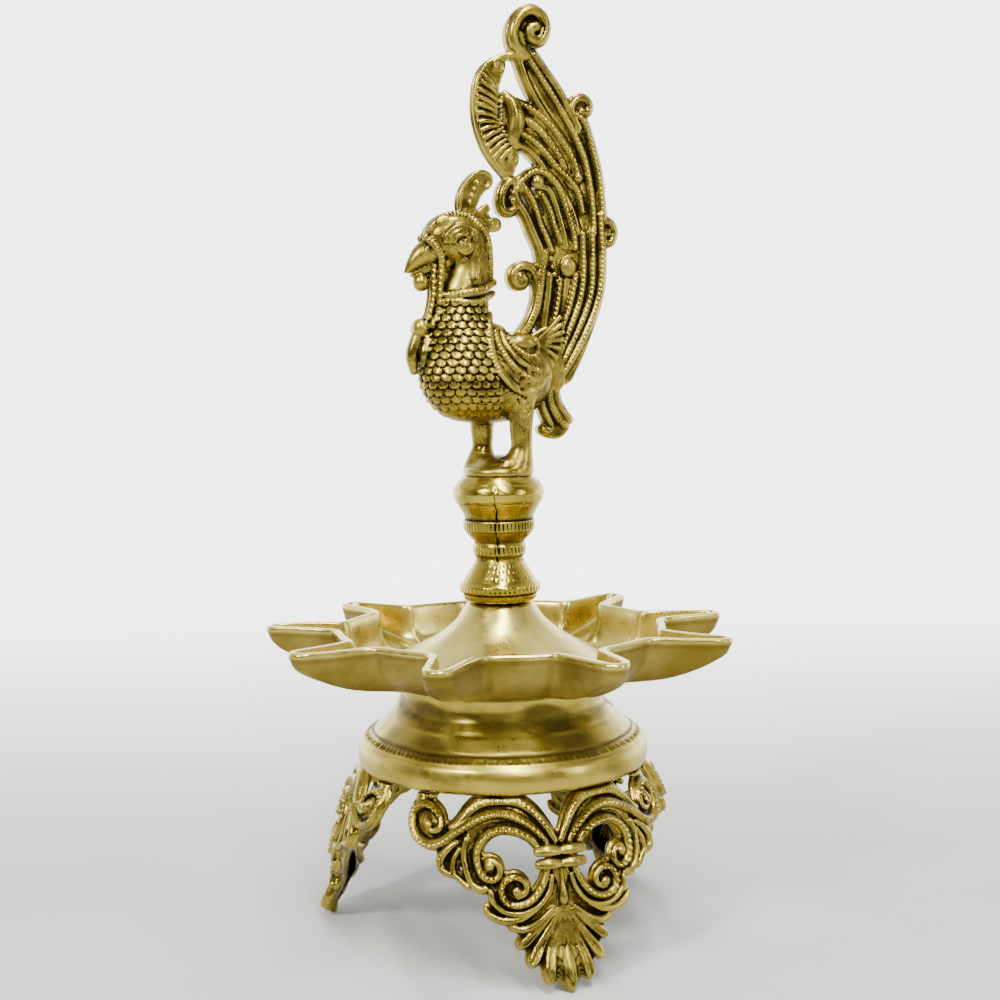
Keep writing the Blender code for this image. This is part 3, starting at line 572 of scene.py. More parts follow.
# Ribs of the tail on the bird's sheet: points (along, height), rib radius, and how it is dressed.
TAIL_RIBS = [
    ("shaft", [(10.3, 302.1), (11.8, 299.8), (16.4, 293.3), (21.6, 285.7), (26.8, 277.6), (31.5, 268),
               (33.5, 260.6), (35, 250.8), (35.4, 240.9)], 1.25, "beads"),
    ("outer_upper", [(14.4, 300.4), (19.6, 293.4), (23.7, 287.8), (27.9, 280.1), (29.9, 275.3)], 1.1,
     "plain"),
    ("outer_lower", [(29.6, 281.0), (32.1, 278.8), (34.2, 273), (36.3, 265.7), (37.8, 258.3), (38.5, 250.8),
                     (38.9, 245.9)], 1.15, "beads"),
    ("middle", [(8.0, 300.4), (9.2, 297.8), (11.7, 291.1), (15.3, 284.5), (19.4, 278.8), (23.5, 273.6),
                (27.2, 268.3)],
     1.05, "plain"),
    ("a", [(4.6, 285.4), (8.0, 284.2), (11.6, 282.9), (16.2, 280.2), (20.9, 276), (25.1, 270.2),
           (28.2, 265.4), (29.8, 260.6)], 1.15, "beads"),
    ("b", [(9.4, 279.5), (14.1, 277.2), (18.2, 273.4), (22.4, 267.7), (25, 262.9)], 1.1, "dashes"),
    ("c", [(7.6, 274.9), (9.9, 273.7), (14, 271.4), (18.2, 267.6), (22.3, 262.8), (26.5, 259), (29.7, 254.6),
           (31.2, 248.2)], 1.15, "beads"),
    ("d", [(7.7, 270.2), (11.4, 268.9), (15, 265.6), (18.1, 261.7), (22.3, 257.4), (25.4, 252.6), (28, 246.7),
           (29.5, 240.8)], 1.05, "plain"),
    ("plume", [(7.2, 255.4), (9.6, 258.4), (12.8, 260.9), (16, 261.4), (19.6, 259.8), (22.8, 256),
               (24.8, 250.6), (26.4, 245.7), (27.9, 240.8), (28.4, 235.8)], 1.3, "beads"),
    ("plume_inner", [(15.9, 256.2), (18.8, 255.6), (20.8, 252.0), (22.6, 246.4), (24.2, 240.4),
                     (25.0, 236.0)], 1.1,
     "plain"),
    ("e", [(8.4, 258.0), (9.6, 256.7), (12.2, 253.3), (14.2, 248.9), (15.7, 244), (17.8, 239.6),
           (19.8, 234.7)], 1.15,
     "beads"),
    ("f", [(16.6, 253.6), (17.4, 252.4), (19.5, 248), (21, 243.1), (23.1, 237.7)], 1.1, "beads"),
    ("neck_side", [(6.6, 254.0), (7.6, 251.2), (10.7, 246.4), (13.2, 240.6), (15.4, 235.7), (16.4, 230.8)],
     1.35, "plain"),
    ("A", [(37.8, 247.1), (38.3, 235.7), (37.9, 224.3), (35.9, 215.7), (31.8, 206.5), (26.1, 196.8),
           (21.4, 190)],
     1.35, "beads"),
    ("B", [(34.8, 241.4), (34.8, 230), (34.2, 220.8), (31.6, 212.8), (27.2, 203.7), (22.8, 195.7),
           (19.7, 189.4)],
     1.3, "beads"),
    ("C", [(31.2, 240.6), (31.4, 227.7), (30.1, 218.5), (26.9, 210), (23.1, 201.4), (19.3, 192.9)], 1.3,
     "beads"),
    ("D", [(28.6, 226.4), (27.6, 221.4), (25.7, 214.5), (23.2, 208.3), (20.3, 200.3), (18.7, 194)], 1.15,
     "beads"),
    ("hook", [(8.8, 255.4), (5.5, 258.0), (2.8, 255.2), (1.9, 250.9), (2.9, 248.2), (5.3, 247.9),
              (7.0, 249.7), (6.0, 251.4)], 1.35, "plain"),
    ("front_hook", [(14.8, 221.4), (14.3, 225.3), (12.5, 228.5), (9.5, 229.4), (6.7, 228.3), (5.7, 225.8),
                    (6.9, 223.4), (9.2, 223.4), (9.9, 225.2)], 1.35, "plain"),
    ("front_band", [(17.2, 234.0), (16.2, 228.7), (15.2, 221.4), (13.9, 215.1), (11.6, 210.1), (9, 206.7)],
     1.5, "milled"),
    ("side_scroll", [(30.4, 276.6), (28.8, 279.4), (27.7, 283), (29.2, 285.8), (32.0, 286.5), (34.0, 284.7),
                     (33.6, 282.2), (31.6, 282.2)], 1.15, "plain"),
    ("bump", [(39.0, 245.2), (41.6, 244.4), (43.0, 241.4), (41.8, 238.1), (39.6, 238.0), (39.4, 240.6),
              (41.0, 240.9)],
     1.0, "plain"),
    ("finial", [(10.8, 299.6), (7.4, 303.4), (7.0, 308.4), (9.4, 312.8), (13.4, 314.9), (17.2, 313.0),
                (18.3, 309.0), (16.4, 305.4), (13.4, 305.6), (12.8, 308.6), (15.0, 309.6)], 1.75, "plain"),
    ("rear_mid", [(18.0, 189.0), (18.6, 183.4), (20.8, 178.6), (23.6, 174.8)], 1.5, "milled"),
    ("rear_front", [(15.0, 187.4), (15.8, 181.8), (17.6, 177.4), (18.9, 174.6), (17.6, 173.0), (15.9, 173.6)],
     1.15, "plain"),
    ("rear_back", [(20.6, 187.4), (21.4, 183.0), (23.6, 179.0), (25.4, 176.8)], 1.1, "plain"),
    ("root_front", [(22.6, 225.0), (21.9, 218.8), (20.9, 213.4), (20.0, 209.6)], 1.15, "beads"),
    ("root_inner", [(18.8, 226.4), (18.2, 219.8), (17.2, 213.8), (16.4, 209.0)], 1.25, "plain"),
]
# The fan near the tail's top: the outer and inner ends of its rays, and its rim.
FAN_OUTER = [(-4, 293.3), (-4.8, 291.1), (-5.9, 288.5), (-6.4, 286.1), (-6.7, 283.7), (-6.5, 280.6),
             (-6.1, 277.5), (-5.4, 274.6), (-4.4, 271.8), (-3.1, 269.4), (-1.6, 267.5), (-0.1, 266.1),
             (1.9, 265.2)]
FAN_INNER = [(0.3, 289.2), (1.3, 286.8), (1.5, 284.5), (1.2, 282.5), (0.9, 280.8), (0.7, 279.1), (1.1, 277.5),
             (1.4, 276.3), (2.1, 274.9), (2.9, 273.2), (3.9, 271.8), (4.9, 270.4), (6.2, 269.2)]
FAN_RIM = [(5.4, 300.0), (3, 299.4), (-2.2, 296.7), (-5.4, 291.8), (-6.6, 284.6), (-6.2, 277.4),
           (-3.9, 270.3), (-1.0, 265.3), (2.9, 260.8), (4.8, 258.5)]
# The plate behind the ribs (along, height, half its width), the short feathers' tips and half the plate's
# thickness.
TAIL_WEB = [(23, 194, 5.4), (24, 205, 9.4), (26.4, 215, 10.6), (28, 225, 11), (28, 236, 10.4),
            (27.4, 246, 10.4), (29.6, 256, 8.0), (29, 264, 6.8), (26.4, 272, 6.0), (21.6, 282, 3.6),
            (17.2, 289.5, 3.2), (12.6, 297, 3.2)]
FEATHER_TIPS = [(20.8, 211.1), (21.4, 208.9), (21.9, 206.6), (21.6, 204.3), (20.8, 201.6), (19.8, 198.8),
                (18.7, 196.3)]
TAIL_FACE = 2.35


def tail_clay(cell):
    """The tail on the bird's sheet, symmetric front and back: a pierced plate, with every rib a bar on its
    face and the bars dressed with beads, dashes or nicks."""
    clay = Clay((-12.0, 165.0, -12.5 * cell), (48.0, 320.0, 12.49 * cell), cell)
    clay.stroke([(s, z, 0, r) for s, z, r in TAIL_WEB], half=2.0, blend=0.5)
    for _, rows, radius, _ in TAIL_RIBS:
        clay.stroke([(s, z, 0, radius + 0.75) for s, z in rows], half=2.3, blend=0.7)
    clay.stroke([(1.6, 296.5, 0, 2.9), (-1.6, 290, 0, 3.8), (-2.5, 284, 0, 4.0), (-2.3, 279, 0, 4.0),
                 (-1.2, 274.5, 0, 3.9), (0.9, 270.4, 0, 3.4), (3.2, 266.5, 0, 2.9), (5.2, 262, 0, 2.2)],
                half=2.1, blend=0.6)
    clay.stroke([(3.2, 286, 0, 1.8), (6.0, 280, 0, 3.4), (6.0, 274, 0, 3.2), (6.8, 269.6, 0, 1.6)], half=2.3,
                blend=0.6)
    clay.stroke([(8, 278, 0, 4.4), (14, 274.2, 0, 6.0), (20, 269, 0, 6.2), (26, 261, 0, 5.5)], half=2.2,
                blend=0.6)
    clay.stroke([(31.0, 283.2, 0, 2.4), (31.6, 283.6, 0, 2.4)], half=2.7, blend=0.4)
    clay.stroke([(40.6, 241.2, 0, 2.0), (41.0, 241.2, 0, 2.0)], half=2.3, blend=0.4)
    clay.stroke([(4.6, 253.0, 0, 2.4), (4.6, 251.6, 0, 2.4)], half=2.2, blend=0.4)
    clay.stroke([(9.0, 226.4, 0, 2.9), (9.6, 226.0, 0, 2.9)], half=2.4, blend=0.4)
    clay.ball((8.4, 225.8, 1.8), (2.6, 2.4, 2.2), 0.4)
    clay.stroke([(14, 203.8, 0, 3.4), (17.4, 203.8, 0, 4.4)], half=3.4, blend=1.0)
    clay.stroke([(12, 200, 0, 5.5), (18, 196, 0, 5.0), (20.5, 190.0, 0, 3.0)], half=4.0, blend=1.5)
    clay.stroke([(17.8, 189.0, 0, 3.6), (18.6, 183.0, 0, 3.5), (21.2, 177.6, 0, 4.1), (21.0, 174.0, 0, 3.7),
                 (17.8, 172.6, 0, 2.0), (15.8, 173.4, 0, 1.2)], half=2.6, blend=0.8)
    clay.stroke([(11.8, 309.6, 0, 4.0), (13.6, 309.6, 0, 4.0)], half=1.6, blend=0.6)
    clay.stroke([(9.6, 301.0, 0, 2.6), (8.4, 306.0, 0, 2.4)], half=2.6, blend=0.6)
    clay.stroke([(9.4, 303.0, TAIL_FACE - 0.4, 1.0), (7.6, 300.6, TAIL_FACE - 0.6, 1.4),
                 (4.8, 299.4, TAIL_FACE - 0.9, 1.2)],
                blend=0.3)
    for name, rows, radius, dress in TAIL_RIBS:
        lift = TAIL_FACE + (0.5 if name == "finial" else 0.0)
        clay.stroke([(s, z, lift, radius) for s, z in rows], blend=0.22)
        face = [(s, z, lift + radius - 0.12) for s, z in rows]
        if dress == "beads":
            clay.beads(face, 1.55, 0.62, 0.12)
        if dress == "dashes":
            mill(clay, face, 2.4, 0.7, 0.3, 0.5)
        if dress == "milled":
            mill(clay, face, 1.3, 1.3)
    clay.stroke([(s, z, 1.7, 1.0) for s, z in FAN_RIM], blend=0.25)
    for (s0, z0), (s1, z1) in zip(FAN_OUTER, FAN_INNER):
        clay.stroke([(s0 + 0.4, z0, 1.9, 0.95), (0.5 * (s0 + s1), 0.5 * (z0 + z1) + 0.3, 2.4, 0.8),
                     (s1, z1, 2.2, 0.5)],
                    blend=0.1)
    clay.beads([(2.6, 287.0, 2.6), (2.3, 282.1, 2.6), (2.4, 276.8, 2.6), (3.9, 273, 2.6), (6.5, 269.7, 2.4)],
               1.3, 0.62)
    clay.stroke([(3.8, 287.4, 2.0, 1.0), (6.6, 283.2, 2.3, 2.4), (7.6, 278.2, 2.3, 3.0),
                 (6.6, 273.2, 2.2, 2.4), (7.4, 269.8, 2.0, 1.2)], blend=0.4)
    for centre, turns in (((1.9, 296.0), 1.6), ((6.1, 265.8), -1.6)):
        clay.stroke([(s, z, 2.3, 0.62) for s, z in volute(centre, 2.3, 0.5, 90.0, turns)], blend=0.12)
        clay.ball((*centre, 2.0), (1.0, 1.0, 1.0), 0.1)
    clay.stroke([(6.1, 265.8, 0, 2.7), (6.2, 264.8, 0, 2.4)], half=2.2, blend=0.4)
    for centre, size in (((15.1, 257.8), 2.3), ((25.6, 229.3), 3.1), ((29.7, 259.6), 1.7)):
        clay.ball((*centre, TAIL_FACE + 0.2), (size, size * 1.1, 1.7), 0.2)
    clay.stroke([(s, z, 3.2, 0.55) for s, z in volute((25.8, 229.6), 3.9, 0.8, 60.0, 1.1)], blend=0.12)
    clay.stroke([(25.6, 230.4, 4.1, 0.35), (26.6, 229.0, 4.2, 0.35), (26.0, 227.6, 4.0, 0.3)], blend=0.1,
                cut=True)
    clay.beads([(19.9, 234.6, 2.6), (19.6, 231.4, 2.7), (20.3, 227.6, 2.7), (21.8, 224.4, 2.6)], 1.9, 0.95)
    clay.stroke([(13.2, 308.2, 3.0, 1.3), (15.0, 309.8, 3.0, 1.1)], blend=0.2)
    clay.stroke([(16.5, 305.4, 3.9, 0.35), (17.6, 309.0, 3.9, 0.35), (16.0, 312.4, 3.9, 0.35)], blend=0.1,
                cut=True)
    clay.field = np.minimum(clay.field, clay.field[:, :, ::-1])
    return clay


def build_tail(finish, cell):
    """The tail's clay, its sheet turned to the bird's angle."""
    flat, quads, groove = tail_clay(cell).skin(0.8)
    make_piece("peacock_tail_cast", bird_point(flat), quads, groove, finish, "bird", "peacock_tail")


# Relief on the bird's near side, laid on the body: points (along, height) and a radius, with how it is
# dressed.
HEAD_LINES = {
    "hood": ([(-24.4, 239.4), (-22.8, 242.2), (-20.0, 245.0), (-15.7, 246.6), (-11.1, 246.2), (-7.0, 243.2),
              (-3.8, 239.4), (-2.8, 234.3), (-2.4, 227.6), (-1.9, 224.4)], 1.15, "milled"),
    "hood_fold": ([(-20.8, 243.4), (-15.6, 244.4), (-11.0, 243.4), (-7.4, 239.6), (-6.4, 234.6)], 1.2,
                  "soft"),
    "nape_fold": ([(-9.0, 239.0), (-8.0, 231.6), (-8.4, 224.6)], 1.7, "soft"),
    "beak_band": ([(-25.2, 238.8), (-22.6, 236.2), (-20.2, 232.6), (-19.6, 229.4)], 1.25, "milled"),
    "nostril": ([(-24.8, 235.4), (-25.6, 233.6)], 0.6, "plain"),
}
BODY_LINES = {
    "collar_upper": ([(-18.4, 219.4), (-15.6, 219.6), (-13.3, 219.9), (-9.2, 220.5), (-5.1, 221.8),
                      (-2.4, 223.2), (-0.9, 224.0)], 1.5, "milled"),
    "collar_lower": ([(-21.0, 217.2), (-18.4, 217.4), (-15.4, 217.3), (-11.9, 216.9), (-7.3, 217.5),
                      (-3.4, 219.0), (-1.0, 220.4)], 1.15, "milled"),
    "wing_first": ([(-3.6, 213.0), (-5.0, 208.3), (-5.6, 202.7), (-4.6, 197.1), (-1.2, 191.8), (3.0, 188.4)],
                   1.45, "milled"),
    "wing_second": ([(-2.6, 208.7), (-2.4, 203.7), (0.2, 198.2), (4.7, 193.2), (9.6, 190.6)], 1.2, "milled"),
    "wing_third": ([(-0.2, 207.6), (0.8, 203.0), (3.4, 198.6), (7.6, 195.4), (12.0, 193.8)], 1.05, "plain"),
    "wing_fourth": ([(2.6, 205.0), (4.2, 201.8), (7.6, 199.2), (11.8, 198.0)], 1.0, "milled"),
    "saddle": ([(-3.0, 209.4), (0.4, 208.2), (4.0, 206.6), (8.0, 206.4), (11.8, 204.6), (13.2, 201.2),
                (10.6, 198.9)],
               0.8, "milled"),
    "wing_edge": ([(-3.3, 193.2), (1.4, 188.4), (6.1, 186.4), (11.5, 187.6), (16.4, 192.0)], 0.8, "plain"),
}
CREST = [(-9.6, 247.6, 1.8), (-9.2, 251.2, 3.2), (-8.0, 254.6, 3.6), (-5.6, 257.4, 3.5), (-3.5, 257.9, 2.4)]
SCALE_WIDE = 3.3
SCALE_TALL = 2.5
SCALE_HIGH = 1.6
SCALE_FROM = 232.0  # height that the rows of feathers are counted down from


def scale_height(along, high, out):
    """How far feathers stand out of the breast: rows SCALE_TALL apart, each feather a tongue SCALE_WIDE
    across that rises to its round lower tip and lies over the row below, every second row shifted by half a
    feather."""
    centre = np.interp(high, [175, 190, 205, 222], [-6.0, -6.0, -9.0, -10.6])
    round_mm = np.interp(high, [175, 190, 205, 222], [13.5, 15.5, 12.0, 9.0])
    turn = np.arctan2(-(along - centre), np.abs(out) * 1.2 + 1e-6)
    best = np.zeros(np.broadcast(along, high, out).shape, np.float32)
    row = np.floor((SCALE_FROM - high) / SCALE_TALL)
    for back in (0, 1):
        k = row - back
        down = (SCALE_FROM - high) / SCALE_TALL - k
        place = turn * round_mm / SCALE_WIDE + 0.5 * (k % 2)
        side = 2.0 * (place - np.floor(place)) - 1.0
        drop = np.clip((down - 0.75) / 0.72, 0, 2)
        shown = (side * 0.98) ** 2 + drop ** 2 < 1.0
        lift = (0.15 + 0.85 * np.clip(down / 1.45, 0, 1)) * (1.0 - 0.35 * side ** 2)
        best = np.maximum(best, np.where(shown, lift, 0.0))
    return SCALE_HIGH * best


def feather_share(x, y):
    """How strongly the breast feathers stand: faded out at the collar, the wing and the worn belly."""
    keep = np.clip((217.4 - y) / 1.2, 0, 1) * np.clip((y - 176.4) / 2.0, 0, 1)
    wing = np.interp(y, [176, 188, 193, 200, 208, 218], [0.5, -1.0, -3.4, -5.8, -5.0, -2.6])
    return keep * np.clip((wing - x) / 1.0, 0, 1) * np.interp(y, [178, 192], [0.3, 1.0])


def relief(clay, lines):
    """Lays ribs on the body's near side: soft ones sunk into a wide fillet, the others standing out, milled
    or not."""
    for rows, radius, dress in lines.values():
        laid = clay.drape([(s, z, radius) for s, z in rows], -0.7 if dress == "soft" else 0.1)
        clay.stroke(laid, blend=1.3 if dress == "soft" else 0.2)
        if dress == "milled":
            mill(clay, [(s, z, out + 0.85 * radius) for s, z, out, _ in laid], 1.25, radius * 0.95, 0.27)


def bird_clay(cell):
    """The standing bird on its sheet: the near half is modelled and mirrored, then the legs and round base
    are added, one leg a step ahead of the other."""
    clay = Clay((-36.0, 157.0, -45.5 * cell), (27.0, 264.5, 45.49 * cell), cell)
    clay.stroke([(11.5, 195, 0, 9.0), (6, 192, 0, 13.8), (-3, 191.6, 0, 15.6), (-10.2, 193, 0, 16.4)], 1.3,
                2.5)
    clay.stroke([(-10.4, 200, 0, 13.8), (-12.2, 207, 0, 11.0), (-12, 214, 0, 9.2), (-10.8, 220, 0, 8.2),
                 (-8.8, 227, 0, 6.9), (-8.2, 234, 0, 6.6), (-9.4, 239, 0, 6.8)], 1.25, 3.0)
    clay.stroke([(16.0, 190.5, 0, 4.4), (12.5, 196, 0, 7.2), (10, 199.5, 0, 6.0)], 1.3, 2.0)
    x, y, z = clay.everywhere()
    clay.field = (clay.field - feather_share(x, y) * scale_height(x, y, z)).astype(np.float32)
    clay.ball((-14.2, 238.9, 0), (11.0, 8.9, 7.2), 1.5)
    clay.stroke([(-20.0, 235.4, 0, 5.2), (-25.0, 233.4, 0, 4.0), (-28.2, 230.8, 0, 2.6),
                 (-31.2, 227.6, 0, 0.9)], 1.05, 0.6)
    clay.stroke([(-18.0, 231.2, 0, 3.4), (-24.6, 228.4, 0, 1.9), (-29.4, 226.4, 0, 0.7)], 1.05, 0.3)
    clay.stroke([(-31.4, 227.0, 0.0, 0.4), (-27.6, 227.9, 1.6, 0.45), (-25.0, 229.3, 2.6, 0.5),
                 (-22.8, 231.3, 3.6, 0.5)], 1.0, 0.1, cut=True)
    relief(clay, HEAD_LINES)
    for reach, wide in ((6.0, 0.85), (4.4, 0.75), (2.9, 0.7)):
        arc = [(-13.4 + reach * math.cos(t), 236.8 + 0.92 * reach * math.sin(t), wide)
               for t in np.linspace(0.7, 3.1, 7)]
        clay.stroke(clay.drape(arc, 0.2), blend=0.15)
    eye = clay.drape([(-12.2, 235.6)], -0.5)[0]
    clay.ball(eye, (3.0, 3.1, 1.7), 0.3)
    clay.ball((-14.0, 236.8, clay.top(-14.0, 236.8)), (0.8, 0.8, 0.7), 0.08)
    clay.stroke([(-18.8, 228.0, 0, 3.0), (-20.4, 222.0, 0, 2.0), (-22.0, 214.0, 0, 2.0),
                 (-24.4, 208.0, 0, 2.4)],
                blend=0.8, half=1.3)
    for rows, out in (([(-22.0, 229.4), (-22.5, 224.0), (-22.6, 219.0), (-23.8, 213.4), (-25.4, 210.6)], 1.9),
                      ([(-19.8, 229.0), (-20.5, 224.0), (-20.7, 218.6), (-21.3, 213.4), (-23.4, 209.7)],
                       3.3)):
        clay.stroke([(s, z, out, 1.25) for s, z in rows], blend=0.2)
        clay.beads([(s, z, out + 1.05) for s, z in rows], 1.7, 0.68)
    clay.ball((-26.2, 224.0, 0), (2.9, 3.1, 3.0), 0.5)
    clay.ball((-26.8, 208.6, 0.9), (3.0, 3.5, 3.2), 0.3)
    clay.stroke([(-27.6, 212.4, 4.2, 0.5), (-27.9, 208.4, 4.4, 0.55), (-26.9, 205.0, 4.0, 0.5)], 1.0, 0.1,
                cut=True)
    clay.stroke([(-28.2, 205.2, 0.7, 2.1), (-29.9, 199.8, 0.7, 2.1), (-29.4, 194.4, 0.6, 1.4)], blend=0.3)
    clay.stroke([(-24.8, 204.6, 2.0, 2.0), (-25.9, 200.3, 2.8, 2.3), (-25.6, 196.2, 2.6, 1.6)], blend=0.3)
    clay.stroke([(-27.0, 204.0, 3.4, 0.35), (-28.0, 199.6, 3.2, 0.4), (-27.4, 195.0, 2.4, 0.3)], 1.0, 0.1,
                cut=True)
    clay.ball((7.6, 203.4, clay.top(7.6, 203.0) - 0.4), (5.0, 2.7, 2.3), 0.5)
    clay.stroke([(13.4, 203.8, 0, 3.2), (18.2, 204.4, 0, 4.6), (17.4, 200.0, 0, 4.6)], half=4.3, blend=0.8)
    for tip in FEATHER_TIPS:
        way = (tip[0] - 13.0, tip[1] - 203.4)
        clay.stroke([(13.0 + 0.1 * way[0], 203.4 + 0.1 * way[1], 4.1, 0.55),
                     (13.0 + 0.6 * way[0], 203.4 + 0.6 * way[1], 4.6, 0.7),
                     (13.0 + 1.12 * way[0], 203.4 + 1.12 * way[1], 4.0, 0.9)], blend=0.1)
    relief(clay, BODY_LINES)
    for number in range(6):
        rows = [(3.4 + 2.3 * number, 193.6 + 0.9 * number), (7.0 + 1.7 * number, 188.8 + 1.5 * number),
                (11.6 + 1.0 * number, 187.4 + 2.2 * number)]
        laid = clay.drape([(s, z, 0.42) for s, z in rows], 0.12)
        clay.stroke(laid, blend=0.1, cut=True)
        mill(clay, [(s + 0.5, z + 0.9, out) for s, z, out, _ in laid], 1.4, 0.6, 0.34, 0.4)
    clay.stroke([(s, z, 0, r) for s, z, r in CREST], half=2.1, blend=0.5)
    clay.stroke([(-10.2, 245.8, 0, 2.6), (-5.0, 245.0, 0, 3.0), (-3.2, 243.0, 0, 2.6)], half=2.2, blend=0.8)
    clay.stroke([(-5.2, 246.8, 0, 1.9), (-3.4, 248.8, 0, 1.6)], half=2.1, blend=0.25)
    clay.stroke([(-0.8, 243.4, 0, 2.5), (-0.2, 243.4, 0, 2.5)], half=1.9, blend=0.25)
    rim = [(-12.9, 246.6), (-13.3, 250.6), (-12.3, 254.8), (-9.6, 258.8), (-5.9, 261.3), (-2.6, 260.4),
           (-1.9, 257.8), (-3.4, 255.8)]
    clay.stroke([(s + 0.4, z - 0.3, 1.7, 0.75) for s, z in rim], blend=0.15)
    for s, z in ((-8.9, 250.6), (-8.2, 252.8), (-7.4, 255.0), (-6.4, 257.2)):
        clay.ball((s, z, 2.1), (0.75, 0.75, 0.7), 0.05)
        clay.ball((s, z, 2.8), (0.32, 0.32, 0.5), 0.05, cut=True)
    clay.stroke([(s, z, 2.0, 0.5) for s, z in volute((-0.6, 243.4), 1.9, 0.4, 150.0, -1.3)], blend=0.1)
    clay.field = np.minimum(clay.field, clay.field[:, :, ::-1])
    clay.stroke([(8.4, 190, 6.0, 4.4), (7.2, 183, 6.0, 4.3), (6.5, 175.5, 6.0, 4.0), (6.6, 168.0, 6.0, 3.7),
                 (5.8, 163.4, 5.6, 4.8), (4.8, 160.6, 5.0, 6.0)], blend=1.4)
    clay.stroke([(-2.8, 184, -6.0, 4.6), (-3.7, 175.5, -6.0, 4.2), (-3.6, 168.0, -6.0, 3.6),
                 (-4.2, 163.4, -5.6, 4.8), (-4.6, 160.6, -5.0, 6.0)], blend=1.4)
    for out, s in ((6.0, 6.4), (-6.0, -3.7)):
        way = 1 if out > 0 else -1
        for drop in range(4):
            tip = (s, 173.6 + 3.4 * drop, out + way * (4.2 - 0.05 * drop))
            for wide in (-2.3, 2.3):
                clay.stroke([(*tip, 0.3), (s + wide, tip[1] + 4.2, out + way * 3.6, 0.3)], 1.0, 0.1, cut=True)
        for toe in (-2.6, 0.2, 3.0):
            clay.stroke([(s + 0.3 * toe, 164.0, out * 0.9, 1.6),
                         (s * 0.8 + 1.1 * toe - 2.0, 162.4, out * 1.1 + way * 1.0, 1.4)],
                        blend=0.5)
    round_base(clay)
    return clay


def round_base(clay):
    """The disc under the feet: a domed button with the tie rod's blind hole up its middle."""
    x, y, z = clay.everywhere()
    wide = np.sqrt(x ** 2 + z ** 2)
    disc = np.sqrt(np.maximum(wide - 10.5, 0) ** 2 + np.maximum(np.abs(y - 159.6) - 0.1, 0) ** 2) - 1.4
    crown = np.sqrt(wide ** 2 + (y - 152.4) ** 2) - 13.0
    crown = np.maximum(crown, 159.0 - y)
    field = smooth_min(smooth_min(clay.field, disc + 0 * clay.field, 1.6), crown + 0 * clay.field, 1.2)
    field = np.maximum(field, BIRD_FOOT - y)
    hole = np.maximum(wide - BORE_R, y - BIRD_BORE_TOP)
    clay.field = np.maximum(field, -hole).astype(np.float32)


def build_bird(finish, cell):
    """The bird's clay on the same sheet, with painted shade between and under its breast feathers and a
    painted highlight on their tips, both put into the groove attribute.
    """
    flat, quads, groove = bird_clay(cell).skin(0.8)
    lift = scale_height(*flat.T) / SCALE_HIGH
    on_breast = feather_share(flat[:, 0], flat[:, 1]) * (flat[:, 0] > -27.5) * (np.abs(flat[:, 2]) > 1.5)
    # Painted shade under each feather's tip and a painted highlight on the tips, added to the groove value.
    groove = groove + on_breast * (0.48 * (1 - lift) ** 2 - 0.10 * lift)
    make_piece("peacock_body_cast", bird_point(flat), quads, groove, finish, "bird", "peacock_body")


# ------------------------------------------------- plate, column and pedestal

def even_profile(profile, step, soften):
    """A closed (radius, z) outline resampled every step mm, its corners eased by soften passes of a
    three-point mean, with its hollow measure: 0.5 on the flat, more in an inside corner."""
    corners = np.array(profile + [profile[0]], float)
    rows = []
    for a, b in zip(corners, corners[1:]):
        count = max(1, int(round(np.linalg.norm(b - a) / step)))
        rows.append(a + (b - a) * np.arange(count)[:, None] / count)
    rows = np.vstack(rows)
    for _ in range(soften):
        rows = 0.25 * np.roll(rows, 1, 0) + 0.5 * rows + 0.25 * np.roll(rows, -1, 0)
    wide = rows.copy()
    for _ in range(30):
        wide = 0.25 * np.roll(wide, 1, 0) + 0.5 * wide + 0.25 * np.roll(wide, -1, 0)
    along = np.roll(rows, -1, 0) - np.roll(rows, 1, 0)
    normal = np.stack([along[:, 1], -along[:, 0]], 1) / (np.linalg.norm(along, axis=1)[:, None] + 1e-9)
    area = 0.5 * np.sum(rows[:, 0] * np.roll(rows[:, 1], -1) - np.roll(rows[:, 0], -1) * rows[:, 1])
    normal = normal if area > 0 else -normal
    hollow = 0.5 + np.clip(np.sum((wide - rows) * normal, 1) * 0.45, -0.3, 0.14)
    return rows, normal, hollow


def ring_faces(turns, rows, flip):
    """Quads of a closed ring of closed sections: turns sections of rows points each."""
    i, j = np.meshgrid(np.arange(turns), np.arange(rows), indexing="ij")
    a, b = i * rows + j, ((i + 1) % turns) * rows + j
    c, d = ((i + 1) % turns) * rows + (j + 1) % rows, i * rows + (j + 1) % rows
    quads = np.stack([a, d, c, b] if flip else [a, b, c, d], -1)
    return quads.reshape(-1, 4)


def turned(name, profile, turns, step, soften, relief_of, finish, body, node, dimmer=0.0, dimmer_below=0.0):
    """A turned ring: radius and z follow the profile, moved out along its normal by relief_of(degrees,
    radius, z). Below a height its colour is made darker by raising the groove attribute by the given share."""
    rows, normal, hollow = even_profile(profile, step, soften)
    degrees = np.arange(turns)[:, None] * 360.0 / turns
    lift = relief_of(degrees, rows[None, :, 0], rows[None, :, 1])
    radius = rows[None, :, 0] + lift * normal[None, :, 0]
    high = rows[None, :, 1] + lift * normal[None, :, 1]
    points = polar(radius, degrees, high).reshape(-1, 3)
    area = 0.5 * np.sum(rows[:, 0] * np.roll(rows[:, 1], -1) - np.roll(rows[:, 0], -1) * rows[:, 1])
    groove = np.clip(hollow[None, :] - 0.9 * lift + dimmer * (rows[:, 1] < dimmer_below), 0, 1)
    make_piece(name, points, ring_faces(turns, len(rows), area < 0), groove.reshape(-1), finish, body, node)


def band(z, low, high, edge=0.25):
    """1 between two heights, falling to 0 over edge mm outside them."""
    return np.clip((z - low) / edge + 1, 0, 1) * np.clip((high - z) / edge + 1, 0, 1)


def line(z, at, wide=0.35):
    """A bell curve 1 high at a height."""
    return np.exp(-((z - at) / wide) ** 2)


